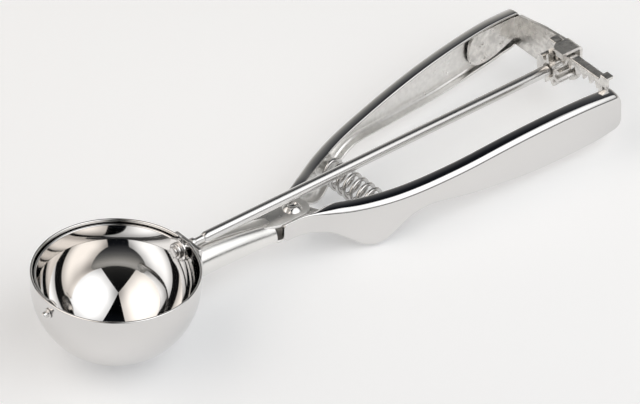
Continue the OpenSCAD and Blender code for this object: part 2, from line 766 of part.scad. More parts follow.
function wire_ring(r) =
    let(t = r[1] / norm(r[1]), b = cross(t, r[2]))
    [for (k = [0 : wire_sides - 1])
        let(a = 360 * k / wire_sides) r[0] + wire_d / 2 * (cos(a) * r[2] + sin(a) * b)];
function wire_gap() =
    min([for (i = [0 : len(wire_rows) - 1]) for (j = [i + 5 : 1 : len(wire_rows) - 1])
        norm(wire_rows[i][0] - wire_rows[j][0])]) - wire_d;
echo(wire_gap = wire_gap());

module handle_spring() {
    color(polished) place() tube_loft([for (r = wire_rows) wire_ring(r)]);
}

bowl();
saddle();
neck();
rod_bearing();
fixed_handle();
gear_bridge();
bridge_welds();
pivot_rivet();
pivot_spacer();
spring_seat_fixed();
lever_handle();
rack();
rack_bracket();
rack_welds();
spring_seat_lever();
drive_rod();
pinion();
rod_clip();
wiper_blade();
blade_hub();
blade_pin();
pin_washer();
handle_spring();
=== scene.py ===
"""Lever ice cream scoop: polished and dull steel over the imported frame, on a pale studio floor."""

import json
import math

import bmesh
import bpy
import numpy as np
from bpy.props import FloatProperty, FloatVectorProperty, PointerProperty
from mathutils import Matrix


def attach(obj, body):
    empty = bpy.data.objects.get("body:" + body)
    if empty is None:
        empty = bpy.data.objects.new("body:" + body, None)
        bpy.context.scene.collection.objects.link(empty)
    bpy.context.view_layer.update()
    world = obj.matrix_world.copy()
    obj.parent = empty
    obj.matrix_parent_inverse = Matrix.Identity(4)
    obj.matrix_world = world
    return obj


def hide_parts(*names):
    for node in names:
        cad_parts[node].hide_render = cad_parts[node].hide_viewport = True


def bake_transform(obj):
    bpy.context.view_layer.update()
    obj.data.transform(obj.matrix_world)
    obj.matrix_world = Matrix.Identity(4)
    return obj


bl_info = {
    "name": "Lever Ice Cream Scoop",
    "version": (1, 0, 0),
    "blender": (4, 5, 0),
    "location": "View3D > Sidebar > Scoop",
    "description": "Builds the finished metal of a lever ice cream scoop, piece by piece",
    "category": "Object",
}

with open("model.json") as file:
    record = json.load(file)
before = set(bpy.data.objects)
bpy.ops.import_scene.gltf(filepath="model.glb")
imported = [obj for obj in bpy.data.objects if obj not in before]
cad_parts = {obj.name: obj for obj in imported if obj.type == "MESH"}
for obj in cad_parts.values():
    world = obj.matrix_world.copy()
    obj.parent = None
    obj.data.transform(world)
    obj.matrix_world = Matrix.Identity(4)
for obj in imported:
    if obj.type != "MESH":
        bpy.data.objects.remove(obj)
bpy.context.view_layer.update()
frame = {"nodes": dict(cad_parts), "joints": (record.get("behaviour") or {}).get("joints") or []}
MM = 0.001

# The scoop's own frame: its middle is the middle of the bowl, X runs along the rod to the handles,
# Y goes to the fixed handle and Z points out of the bowl. The joints say where it lies.
JOINTS = {joint["name"]: joint for joint in frame["joints"]}
MIDDLE = np.array(JOINTS["wiper_hinge"]["pos_m"])
ALONG = np.array(JOINTS["wiper_hinge"]["axis"])
UP = np.array(JOINTS["lever_hinge"]["axis"])
AXES = np.array([ALONG, np.cross(UP, ALONG), UP])
PIVOT_X = float((np.array(JOINTS["lever_hinge"]["pos_m"]) - MIDDLE) @ ALONG)

# Heights of the cheeks' outer faces, their sheet, and how deep the neck tube's middle lies, all
# from the rod's axis.
CHEEK_TOP = -5.6 * MM
CHEEK_LOW = -12.8 * MM
CHEEK_SHEET = 1 * MM
NECK_DROP = 8.2 * MM


def settle(points):
    """Points of the scoop's own frame, where the scoop lies."""
    return MIDDLE + np.asarray(points, float) @ AXES


def extent(node):
    """Lowest and highest corner of a CAD node in the scoop's own frame."""
    mesh = frame["nodes"][node].data
    places = np.empty(len(mesh.vertices) * 3, np.float32)
    mesh.vertices.foreach_get("co", places)
    local = (places.reshape(-1, 3) - MIDDLE) @ AXES.T
    return local.min(0), local.max(0)


BOWL_HIGH = extent("bowl")[1]
FIXED_LOW, FIXED_HIGH = extent("fixed_handle")
LEVER_LOW, LEVER_HIGH = extent("lever_handle")
ROD_LOW, ROD_HIGH = extent("drive_rod")
BEARING_LOW, BEARING_HIGH = extent("rod_bearing")
NECK_HIGH = extent("neck")[1]
PIN_LOW, PIN_HIGH = extent("blade_pin")
SPRING_LOW, SPRING_HIGH = extent("handle_spring")


def length(name, description, default):
    """A size in metres for the panel."""
    return FloatProperty(name=name, description=description, default=default, unit="LENGTH",
                         min=0.00001, soft_max=0.3, precision=5)


def share(name, description, default):
    """A number from 0 to 1 for the panel."""
    return FloatProperty(name=name, description=description, default=default, subtype="FACTOR",
                         min=0, max=1)


def colour(name, description, default):
    """A colour for the panel."""
    return FloatVectorProperty(name=name, description=description, default=default,
                               subtype="COLOR", min=0, max=1)


class ScoopSizes(bpy.types.PropertyGroup):
    """Sizes of the finished metal."""

    bowl_radius: length("Bowl radius", "Outside radius of the bowl", float(BOWL_HIGH[1]))
    bowl_wall: length("Bowl wall", "Sheet thickness of the bowl", 0.9 * MM)
    rim_height: length("Rim height", "Height of the rim above the rod", float(BOWL_HIGH[2]))
    slot_drop: length("Slot depth", "Depth of the rim's slot below the rod", 1.8 * MM)
    slot_width: length("Slot width", "Width of the rim's slot", 8.4 * MM)
    slot_edge: length("Slot edge", "Edge of the slot on the fixed handle's side", 1.7 * MM)
    saddle_sheet: length("Saddle sheet", "Sheet thickness of the saddle", 1.1 * MM)
    saddle_radius: length("Saddle radius", "Radius of the saddle's outline", 12.6 * MM)
    neck_radius: length("Neck radius", "Radius of the neck tube at the bowl", 5.8 * MM)
    neck_wall: length("Neck wall", "Wall of the neck tube", 1 * MM)
    neck_end: length("Neck end", "Rear end of the neck tube", 64.5 * MM)
    cheek_radius: length("Cheek radius", "Radius of the cheeks' round end", 5 * MM)
    handle_sheet: length("Handle sheet", "Sheet thickness of the handles", 1 * MM)
    flange: length("Upper flange", "Width of the handles' upper flange", 5.4 * MM)
    flange_low: length("Lower flange", "Width of the handles' lower flange", 4 * MM)
    shoulder: length("Shoulder", "Outside radius between web and flange", 2.6 * MM)
    spread: length("Spread", "Distance of the web's rear end from the rod", float(FIXED_HIGH[1]))
    web_top: length("Web top", "Depth of the handles' top edge at the pivot", 5.4 * MM)
    tail_top: length("Tail top", "Height of the handles' top edge at the rear", 6.2 * MM)
    tail_low: length("Tail depth", "Depth of the handles' rear part", 13.4 * MM)
    bump: length("Finger bump", "Height of the finger bump", 9.8 * MM)
    lug_sheet: length("Lug sheet", "Thickness of the lugs on the rivet", 0.9 * MM)
    lug_radius: length("Lug radius", "Radius of the lugs on the rivet", 4.6 * MM)
    rivet_head: length("Rivet head", "Radius of the rivet's heads", 3.5 * MM)
    wire: length("Wire", "Diameter of the spring's wire", 1.5 * MM)
    coil_radius: length("Coil radius", "Mean radius of the spring's coils", 4.3 * MM)
    blade_width: length("Blade width", "Width of the wiper blade", 6.4 * MM)
    blade_sheet: length("Blade sheet", "Thickness of the wiper blade", 0.8 * MM)


class ScoopFinishes(bpy.types.PropertyGroup):
    """Colours and gloss of the finished metal."""

    mirror_tint: colour("Mirror tint", "Colour of the polished steel", (0.745, 0.735, 0.725))
    satin_tint: colour("Satin tint", "Colour of the handles' satin inside", (0.87, 0.86, 0.84))
    dull_tint: colour("Dull tint", "Colour of the tumbled steel", (0.86, 0.84, 0.81))
    mirror_rough: share("Mirror roughness", "Roughness of the polished steel", 0.045)
    satin_rough: share("Satin roughness", "Roughness of the satin inside", 0.32)
    dull_rough: share("Dull roughness", "Roughness of the tumbled steel", 0.27)


class ScoopStudio(bpy.types.PropertyGroup):
    """Light, floor and camera."""

    floor_tint: colour("Floor", "Colour of the pale floor far out", (0.83, 0.83, 0.82))
    # Painted shade: the floor's colour is darker and cooler in front of the scoop, lighter behind
    # it.
    shaded_front_tint: colour("Front", "Colour of the floor in front of the scoop", (0.765, 0.772, 0.782))
    lit_back_tint: colour("Back", "Colour of the floor behind the scoop", (0.885, 0.89, 0.895))
    room_tint: colour("Room", "Colour of the dark room", (0.012, 0.014, 0.018))
    box_glow: FloatProperty(name="Softbox glow", description="Brightness of the softboxes",
                            default=1.95, min=0, soft_max=5)
    box_tint: colour("Left softbox", "Colour of the left softbox", (0.92, 0.865, 0.81))
    floor_glow: share("Floor glow", "What the floor's own paleness adds to its shade", 0.3)
    fill: share("Fill", "Soft light from all round on the floor and the dull parts", 0.12)
    lens: FloatProperty(name="Lens", description="Focal length of the camera in millimetres",
                        default=683.17, min=10, max=2000)


# ---- shapes ----

def rounded(points, radius, closed=True, steps=4):
    """A polyline whose corners are arcs: each corner gives way to a quadratic bend that starts
    radius before it, or less where a side is short, and ends as far behind it."""
    points = [np.array(p, float) for p in points]
    count = len(points)
    radii = radius if hasattr(radius, "__len__") else [radius] * count
    out = []
    for i, corner in enumerate(points):
        if radii[i] == 0 or (not closed and i in (0, count - 1)):
            out.append(corner)
            continue
        before = points[i - 1] - corner
        after = points[(i + 1) % count] - corner
        reach = min(radii[i], 0.45 * np.linalg.norm(before), 0.45 * np.linalg.norm(after))
        start = corner + before / np.linalg.norm(before) * reach
        stop = corner + after / np.linalg.norm(after) * reach
        for t in np.linspace(0, 1, steps + 1):
            out.append((1 - t) ** 2 * start + 2 * t * (1 - t) * corner + t * t * stop)
    return np.array(out)


def arc(centre, radius, start, stop, steps):
    """Points on a circle in a plane, from one angle to another, in degrees."""
    angle = np.radians(np.linspace(start, stop, steps))
    return np.array(centre) + radius * np.stack([np.cos(angle), np.sin(angle)], -1)


def eased(rows, where, soften=0.02):
    """A curve through rows of place and value: a cubic between neighbours whose slopes are those of
    the line from the row before to the row after, run on straight at both ends, and then averaged
    with a bell curve as wide as a share of the whole, which leaves no kink in a reflection."""
    place, value = np.array(rows, float).T
    reach = place[-1] - place[0]
    index = np.arange(len(place))
    before, after = np.maximum(index - 1, 0), np.minimum(index + 1, len(place) - 1)
    slope = (value[after] - value[before]) / (place[after] - place[before])
    fine = np.linspace(place[0] - 0.25 * reach, place[-1] + 0.25 * reach, 3001)
    i = np.clip(np.searchsorted(place, fine, side="right") - 1, 0, len(place) - 2)
    gap = place[i + 1] - place[i]
    s = np.clip((fine - place[i]) / gap, 0, 1)
    curve = ((2 * s**3 - 3 * s**2 + 1) * value[i] + (s**3 - 2 * s**2 + s) * gap * slope[i]
             + (3 * s**2 - 2 * s**3) * value[i + 1] + (s**3 - s**2) * gap * slope[i + 1])
    curve += slope[0] * np.minimum(fine - place[0], 0) + slope[-1] * np.maximum(fine - place[-1], 0)
    if soften:
        width = soften * reach / (fine[1] - fine[0])
        bell = np.exp(-0.5 * (np.arange(-int(4 * width), int(4 * width) + 1) / width) ** 2)
        curve = np.convolve(curve, bell / bell.sum(), mode="same")
    return np.interp(where, fine, curve)


def skin(rings, caps=True, loop=False, marks=None):
    """Faces over rings of points, an array of rings, points and three: a quad joins two neighbours
    of one ring to the same two of the next. caps closes the first and last ring with a face each,
    and loop joins the last ring to the first. marks gives each point of a ring its material."""
    rings = np.asarray(rings, float)
    count, size = rings.shape[:2]
    first = np.arange(count if loop else count - 1)[:, None] * size
    second = (first + size) % (count * size)
    here = np.arange(size)[None, :]
    there = (here + 1) % size
    quads = np.stack([first + here, first + there, second + there, second + here], -1)
    faces = quads.reshape(-1, 4).tolist()
    paint = np.tile(np.zeros(size, int) if marks is None else marks, len(first)).tolist()
    if caps and not loop:
        faces += [list(range(size))[::-1], list(range((count - 1) * size, count * size))]
        paint += [0, 0]
    return rings.reshape(-1, 3), faces, paint


def turned(profile, steps=72, centre=(0, 0)):
    """Rings of a turned shape round an axis along X: each row of the profile is a place along the
    axis and a radius, and centre is the axis's Y and Z."""
    profile = np.asarray(profile, float)
    angle = np.linspace(0, 2 * math.pi, steps, endpoint=False)
    along = np.repeat(profile[:, :1], steps, 1)
    return np.stack([along, centre[0] + profile[:, 1:] * np.cos(angle),
                     centre[1] + profile[:, 1:] * np.sin(angle)], -1)


def turned_up(profile, steps=96, centre=(0, 0)):
    """Rings of a turned shape round an upright axis: rows are a radius and a height."""
    profile = np.asarray(profile, float)
    angle = np.linspace(0, 2 * math.pi, steps, endpoint=False)
    high = np.repeat(profile[:, 1:], steps, 1)
    return np.stack([centre[0] + profile[:, :1] * np.cos(angle),
                     centre[1] + profile[:, :1] * np.sin(angle), high], -1)


def stamped(outline, sheet, edge, steps=3):
    """Rings of a stamped plate with rounded edges: the outline, drawn in by edge times one minus
    the sine of an angle while its height climbs by edge times one minus the cosine, up one side of
    the sheet and mirrored down the other. Columns are the outline's two and the height."""
    outline = np.asarray(outline, float)
    back, ahead = np.roll(outline, 1, 0), np.roll(outline, -1, 0)
    sides = [outline - back, ahead - outline]
    lengths = [np.maximum(np.linalg.norm(s, axis=1), 1e-12)[:, None] for s in sides]
    normals = [np.stack([s[:, 1], -s[:, 0]], -1) / size for s, size in zip(sides, lengths)]
    blend = 1 + (normals[0] * normals[1]).sum(1, keepdims=True)
    outward = (normals[0] + normals[1]) / np.maximum(blend, 0.4)
    turn = np.roll(outline, -1, 0)
    if (outline[:, 0] * turn[:, 1] - outline[:, 1] * turn[:, 0]).sum() < 0:
        outward = -outward
    angle = np.linspace(0, math.pi / 2, steps + 1)
    inset = edge * (1 - np.sin(angle))
    climb = edge * (1 - np.cos(angle))
    inset = np.concatenate([inset, inset[::-1]])
    climb = np.concatenate([climb, sheet - climb[::-1]])
    flat = outline[None] - outward[None] * inset[:, None, None]
    return np.concatenate([flat, np.broadcast_to(climb[:, None, None], flat.shape[:2] + (1,))], -1)


def make_piece(name, skins, finishes, body, nodes, crease=32):
    """One finished object from several skins, in the scoop's frame: points at one place are merged,
    faces turned outwards, shading smooth up to the crease's angle, and it stands for its nodes."""
    places, faces, paint = [], [], []
    for skin_places, skin_faces, skin_paint in skins:
        start = sum(len(p) for p in places)
        places.append(skin_places)
        faces += [[start + i for i in face] for face in skin_faces]
        paint += skin_paint
    mesh = bpy.data.meshes.new(name)
    mesh.from_pydata(settle(np.concatenate(places)), [], faces)
    mesh.polygons.foreach_set("material_index", np.array(paint, np.int32))
    for finish in finishes:
        mesh.materials.append(finish)
    form = bmesh.new()
    form.from_mesh(mesh)
    bmesh.ops.remove_doubles(form, verts=form.verts, dist=0.002 * MM)
    bmesh.ops.dissolve_degenerate(form, edges=form.edges, dist=0.0005 * MM)
    bmesh.ops.recalc_face_normals(form, faces=form.faces)
    form.to_mesh(mesh)
    form.free()
    return dress(name, mesh, body, nodes, crease)


def dress(name, mesh, body, nodes, crease=32):
    """Links a finished mesh as a piece that rides on its body and stands for its nodes."""
    mesh.polygons.foreach_set("use_smooth", np.ones(len(mesh.polygons), bool))
    mesh.set_sharp_from_angle(angle=math.radians(crease))
    piece = bpy.data.objects.new(name, mesh)
    bpy.context.scene.collection.objects.link(piece)
    if nodes:
        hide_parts(*nodes)
    if body:
        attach(piece, body)
    return piece


def softened_copy(node, name, finish, body, edge):
    """A copy of a CAD node: triangles merged, flat faces joined and edges rounded."""
    mesh = frame["nodes"][node].data.copy()
    mesh.materials.clear()
    mesh.materials.append(finish)
    form = bmesh.new()
    form.from_mesh(mesh)
    bmesh.ops.remove_doubles(form, verts=form.verts, dist=0.002 * MM)
    bmesh.ops.dissolve_limit(form, angle_limit=math.radians(0.5), verts=form.verts,
                             edges=form.edges)
    form.to_mesh(mesh)
    form.free()
    mesh.polygons.foreach_set("material_index", np.zeros(len(mesh.polygons), np.int32))
    piece = dress(name, mesh, body, [node], crease=30)
    bevel = piece.modifiers.new("edges", "BEVEL")
    bevel.width = edge
    bevel.segments = 2
    bevel.limit_method = "ANGLE"
    bevel.angle_limit = math.radians(35)
    bevel.harden_normals = True
    return piece


# ---- finishes ----

def add_noise(tree, place, size, detail, stretch=None):
    """A noise over the object's own place with features of about that size."""
    source = place
    if stretch:
        mapping = tree.nodes.new("ShaderNodeMapping")
        mapping.inputs["Scale"].default_value = stretch
        tree.links.new(place, mapping.inputs["Vector"])
        source = mapping.outputs["Vector"]
    noise = tree.nodes.new("ShaderNodeTexNoise")
    noise.inputs["Scale"].default_value = 1 / size
    noise.inputs["Detail"].default_value = detail
    tree.links.new(source, noise.inputs["Vector"])
    return noise.outputs["Fac"]


def add_range(tree, value, low, high, start=0.3, stop=0.7, smooth=False):
    """Numbers from low to high while a value runs from start to stop, by default the middle of a
    noise, in a straight line or a smooth step."""
    spread = tree.nodes.new("ShaderNodeMapRange")
    if smooth:
        spread.interpolation_type = "SMOOTHSTEP"
    spread.inputs["From Min"].default_value = start
    spread.inputs["From Max"].default_value = stop
    spread.inputs["To Min"].default_value = low
    spread.inputs["To Max"].default_value = high
    tree.links.new(value, spread.inputs["Value"])
    return spread.outputs["Result"]


def add_vector_maths(tree, operation, place, direction=None):
    """One number from a place: its length, or its dot product with a direction."""
    node = tree.nodes.new("ShaderNodeVectorMath")
    node.operation = operation
    if direction:
        node.inputs[1].default_value = direction
    tree.links.new(place, node.inputs[0])
    return node.outputs["Value"]


def add_maths(tree, operation, *values):
    """One step of arithmetic on numbers and sockets."""
    node = tree.nodes.new("ShaderNodeMath")
    node.operation = operation
    for socket, value in zip(node.inputs, values):
        if isinstance(value, (int, float)):
            socket.default_value = value
        else:
            tree.links.new(value, socket)
    return node.outputs[0]


def seen_rays(tree):
    """1 for rays from the camera, a reflection or a clear material, and 0 for others."""
    path = tree.nodes.new("ShaderNodeLightPath")
    seen = add_maths(tree, "MAXIMUM", path.outputs["Is Camera Ray"], path.outputs["Is Glossy Ray"])
    return add_maths(tree, "MAXIMUM", seen, path.outputs["Is Transmission Ray"])


def add_bump(tree, height, depth, normal=None):
    """Raises the surface by up to depth metres where the height is 1."""
    bump = tree.nodes.new("ShaderNodeBump")
    bump.inputs["Strength"].default_value = 1
    bump.inputs["Distance"].default_value = depth
    tree.links.new(height, bump.inputs["Height"])
    if normal:
        tree.links.new(normal, bump.inputs["Normal"])
    return bump.outputs["Normal"]


def blank_material(name):
    """A material with an empty node tree, that tree, and the surface socket of its output."""
    material = bpy.data.materials.new(name)
    material.use_nodes = True
    tree = material.node_tree
    tree.nodes.clear()
    return material, tree, tree.nodes.new("ShaderNodeOutputMaterial").inputs["Surface"]


def steel(name, tint, rough, drift, patch, wave, wave_size, grain, grain_size, mottle=0,
          stretch=None):
    """Bare steel. The roughness drifts over patches, long shallow waves come from pressing and
    polishing, a fine grain from the finish, and mottle darkens the colour in soft clouds."""
    material = bpy.data.materials.new(name)
    material.use_nodes = True
    tree = material.node_tree
    shader = tree.nodes["Principled BSDF"]
    shader.inputs["Metallic"].default_value = 1
    shader.inputs["Base Color"].default_value = (*tint, 1)
    place = tree.nodes.new("ShaderNodeTexCoord").outputs["Object"]
    clouds = add_noise(tree, place, patch, 3)
    rough_range = add_range(tree, clouds, rough - drift, rough + drift)
    tree.links.new(rough_range, shader.inputs["Roughness"])
    if mottle:
        ramp = tree.nodes.new("ShaderNodeValToRGB")
        ramp.color_ramp.elements[0].position = 0.35
        ramp.color_ramp.elements[0].color = (*[c * (1 - mottle) for c in tint], 1)
        ramp.color_ramp.elements[1].position = 0.65
        ramp.color_ramp.elements[1].color = (*tint, 1)
        tree.links.new(add_noise(tree, place, patch * 0.6, 5), ramp.inputs["Fac"])
        tree.links.new(ramp.outputs["Color"], shader.inputs["Base Color"])
    waves = add_bump(tree, add_noise(tree, place, wave_size, 1), wave)
    fine = add_bump(tree, add_noise(tree, place, grain_size, 4, stretch), grain, waves)
    tree.links.new(fine, shader.inputs["Normal"])
    return material


def mirror_steel():
    """Mirror polish: hardly any grain, and the faint waves of a polished pressing."""
    look = bpy.context.scene.scoop_finishes
    return bpy.data.materials.get("mirror_steel") or steel(
        "mirror_steel", look.mirror_tint, look.mirror_rough, 0.015, 9 * MM, 0.006 * MM, 16 * MM,
        0.0001 * MM, 0.6 * MM)


def satin_steel():
    """The handles' inside: drawn sheet, tumbled to a soft mottled shine."""
    look = bpy.context.scene.scoop_finishes
    return bpy.data.materials.get("satin_steel") or steel(
        "satin_steel", look.satin_tint, look.satin_rough, 0.05, 3 * MM, 0.006 * MM, 6 * MM,
        0.0008 * MM, 0.4 * MM, mottle=0.1)


def dull_steel():
    """Stamped and tumbled parts: grey, soft, pitted."""
    look = bpy.context.scene.scoop_finishes
    return bpy.data.materials.get("tumbled_steel") or steel(
        "tumbled_steel", look.dull_tint, look.dull_rough, 0.08, 4 * MM, 0.16 * MM, 2.6 * MM,
        0.006 * MM, 0.5 * MM, mottle=0.26)


def drawn_wire():
    """Spring wire: bright, with faint drawing lines."""
    look = bpy.context.scene.scoop_finishes
    return bpy.data.materials.get("drawn_wire") or steel(
        "drawn_wire", [0.85 * part for part in look.mirror_tint], 0.07, 0.03, 4 * MM, 0.004 * MM,
        5 * MM, 0.0004 * MM, 0.3 * MM)


def brushed_steel():
    """The neck and its cheeks, brushed before the polish."""
    look = bpy.context.scene.scoop_finishes
    return bpy.data.materials.get("brushed_steel") or steel(
        "brushed_steel", look.satin_tint, 0.21, 0.04, 5 * MM, 0.03 * MM, 8 * MM, 0.0004 * MM,
        0.4 * MM, stretch=(0.2, 1, 1))


def turned_steel():
    """Ground and polished round stock, with faint marks round the rod."""
    look = bpy.context.scene.scoop_finishes
    return bpy.data.materials.get("turned_steel") or steel(
        "turned_steel", look.mirror_tint, 0.19, 0.03, 6 * MM, 0.003 * MM, 20 * MM, 0.0003 * MM,
        0.4 * MM, stretch=(6, 1, 1))


# ---- the handles' curves: rows of a fraction of the handle's length and the value there ----

PLAN_ROWS = [(0, .206), (.035, .206), (.065, .209), (.09, .24), (.112, .294), (.135, .352),
             (.18, .452), (.23, .548), (.28, .626), (.325, .682), (.37, .726), (.42, .766),
             (.51, .827), (.61, .877), (.7, .915), (.8, .953), (.89, .983), (.95, .996), (1, 1)]
TOP_ROWS = [(0, 0), (.09, 0), (.112, .04), (.135, .09), (.18, .11), (.23, .155), (.28, .205),
            (.325, .26), (.37, .32), (.42, .395), (.51, .545), (.61, .725), (.7, .855),
            (.8, .955), (.89, 1), (.95, .985), (1, .95)]
LOW_ROWS = [(0, .94), (.04, .95), (.073, .975), (.105, 1), (.16, .97), (.23, .93), (.3, .88),
            (.38, .85), (.42, .845), (.47, .895), (.517, .94), (.58, .97), (.66, 1),
            (.72, 1.005), (.8, .963), (.865, .91), (.93, .843), (.97, .77), (1, .74)]
BUMP_ROWS = [(0, 0), (.08, 0), (.105, .03), (.136, .17), (.16, .39), (.184, .62), (.208, .86),
             (.231, 1), (.255, 1), (.279, .85), (.303, .59), (.326, .33), (.35, .15),
             (.382, .03), (.42, 0), (1, 0)]
WIDTH_ROWS = [(0, 0), (.09, 0), (.1, .06), (.112, .45), (.122, .7), (.14, .8), (.18, .88),
              (.23, .95), (.28, .99), (.35, 1), (1, 1)]
SHOULDER_ROWS = [(0, .2), (.09, .2), (.112, .54), (.135, .84), (.18, 1), (1, 1)]


def corner_cut(radius, distance):
    """How far a round corner of that radius has drawn in at a distance from the end."""
    near = np.clip(radius - distance, 0, radius)
    return radius - np.sqrt(np.maximum(radius**2 - near**2, 0))


def web_side(sizes, share_along):
    """Distance of the web's outside from the rod's plane at a share of the handle's length."""
    return sizes.spread * eased(PLAN_ROWS, share_along, 0.012)


def handle_rings(sizes, side, start, reach, corner):
    """Rings of a channel handle: at each place along it, square to its curve, the section runs from
    the upper free edge over the flange and its shoulder, down the web, round the lower shoulder to
    the lower free edge, and back inside one sheet thickness in, with rounded free edges. The flange
    is crowned: a parabola with its top at 0.3 of its width that slopes 18 degrees at the end."""
    sheet = sizes.handle_sheet
    front_corner = 2.4 * MM
    crest_at, crown = 0.3, np.radians(18)
    quarter = np.radians(np.linspace(0, 90, 13))
    front = front_corner * (1 - np.cos(quarter))
    rear = reach - corner * (1 - np.sin(quarter))
    tiny = np.array([0.01, 0.04, 0.09, 0.16, 0.26]) * MM
    middle = np.arange(2.8 * MM, reach - corner - 0.4 * MM, 0.6 * MM)
    away = np.unique(np.round(np.concatenate([front, tiny, middle, rear, reach - tiny]), 8))
    u = away / reach
    x = start + away
    y = web_side(sizes, u)
    heading = np.arctan2(np.gradient(web_side(sizes, np.linspace(0, 1, 400))) * 399 / reach, 1)
    heading = np.interp(u, np.linspace(0, 1, 400), heading)
    to_end = reach - away
    top = -sizes.web_top + (sizes.tail_top + sizes.web_top) * eased(TOP_ROWS, u, 0.012)
    low = -sizes.tail_low * eased(LOW_ROWS, u, 0.012) - sizes.bump * eased(BUMP_ROWS, u, 0.008)
    top = top - corner_cut(corner, to_end) - corner_cut(1.2 * MM, away)
    low = low + corner_cut(corner, to_end) + corner_cut(front_corner, away)
    wide = eased(WIDTH_ROWS, u, 0.01)
    least = sheet + 0.15 * MM
    upper = least + (sizes.flange - least) * wide
    lower = least + (sizes.flange_low - least) * wide
    outer = sizes.shoulder * eased(SHOULDER_ROWS, u, 0.01)
    inner = np.maximum(outer - sheet, 0.05 * MM)

    def bend(centre_p, centre_z, radius, start_angle, stop_angle, steps=10):
        angle = np.radians(np.linspace(start_angle, stop_angle, steps))[None, :]
        radius = np.broadcast_to(radius, u.shape)[:, None]
        return np.stack([centre_p[:, None] + radius * np.cos(angle),
                         centre_z[:, None] + radius * np.sin(angle)], -1)

    tip_up = np.minimum(sheet / 2, upper - sheet - inner)
    tip_low = np.minimum(sheet / 2, lower - sheet - inner)
    slope = crown * wide
    flat = upper - outer * (1 - np.sin(slope))
    over = np.linspace(0.16, 1, 9)[None, :]
    crest = np.stack([flat[:, None] * over - upper[:, None],
                      top[:, None] - (np.tan(slope) * flat)[:, None] * (over - crest_at) ** 2
                      / (2 * (1 - crest_at))], -1)
    shoulder_z = top - np.tan(slope) * flat * ((1 - crest_at) / 2) - outer * np.cos(slope)
    turn = np.linspace(1, 0, 14)[None, :] * (math.pi / 2 - slope)[:, None]
    shoulder = np.stack([outer[:, None] * (np.cos(turn) - 1),
                         shoulder_z[:, None] + outer[:, None] * np.sin(turn)], -1)
    outside = [
        bend(tip_up - upper, top - tip_up - 0.06 * MM * wide, tip_up, 180, 100, 6),
        crest,
        shoulder[:, 1:],
        bend(-outer, low + outer, outer, 0, -90, 14),
        bend(tip_low - lower, low + tip_low, tip_low, -90, -180, 6),
    ]
    inside = [
        bend(tip_low - lower, low + sheet - tip_low, tip_low, 180, 90, 6),
        bend(-sheet - inner, low + sheet + inner, inner, -90, 0, 10),
        bend(-sheet - inner, top - sheet - inner, inner, 0, 90, 10),
        bend(tip_up - upper, top - sheet + tip_up, tip_up, -90, -180, 6),
    ]
    section = np.concatenate(outside + inside, 1)
    marks = np.concatenate([np.zeros(sum(p.shape[1] for p in outside), int),
                            np.ones(sum(p.shape[1] for p in inside), int)])
    marks[:2] = 0
    step = np.roll(section, -1, 1) - np.roll(section, 1, 1)
    step /= np.maximum(np.linalg.norm(step, axis=-1, keepdims=True), 1e-12)
    inward = np.stack([step[..., 1], -step[..., 0]], -1)
    end_edge = 0.3 * MM
    draw_in = corner_cut(end_edge, away) + corner_cut(end_edge, to_end)
    section = section + inward * draw_in[:, None, None]
    p, z = section[..., 0], section[..., 1]
    rings = np.stack([x[:, None] - p * np.sin(heading)[:, None],
                      side * (y[:, None] + p * np.cos(heading)[:, None]), z], -1)
    return rings, marks


def lug_outline(sizes, start, reach):
    """A lug seen from above, with the pivot at zero: a round end on the rivet that widens to the
    handle's web, whose slope its far side follows."""
    web = [(d, web_side(sizes, (PIVOT_X + d - start) / reach) - 0.6 * sizes.handle_sheet)
           for d in (-5.5 * MM, 0, 5 * MM, 9.6 * MM)]
    round_end = arc((0, 0), sizes.lug_radius, -8, -188, 28)
    return np.concatenate([[web[3]], [(8.6 * MM, 7 * MM)], round_end, web[:3]])


def handle_piece(name, node, body, side, low, high, corner, lug_tops):
    """A channel handle with its two lugs on the rivet."""
    sizes = bpy.context.scene.scoop_sizes
    start = float(low[0])
    reach = float(high[0] - low[0])
    rings, marks = handle_rings(sizes, side, start, reach, corner)
    skins = [skin(rings, marks=marks)]
    outline = lug_outline(sizes, start, reach)
    for top in lug_tops:
        plate = stamped(outline, sizes.lug_sheet, 0.2 * MM)
        plate = np.stack([plate[..., 0] + PIVOT_X, side * plate[..., 1],
                          plate[..., 2] + top - sizes.lug_sheet], -1)
        skins.append(skin(plate))
    return make_piece(name, skins, [mirror_steel(), satin_steel()], body, [node])


# ---- operators ----

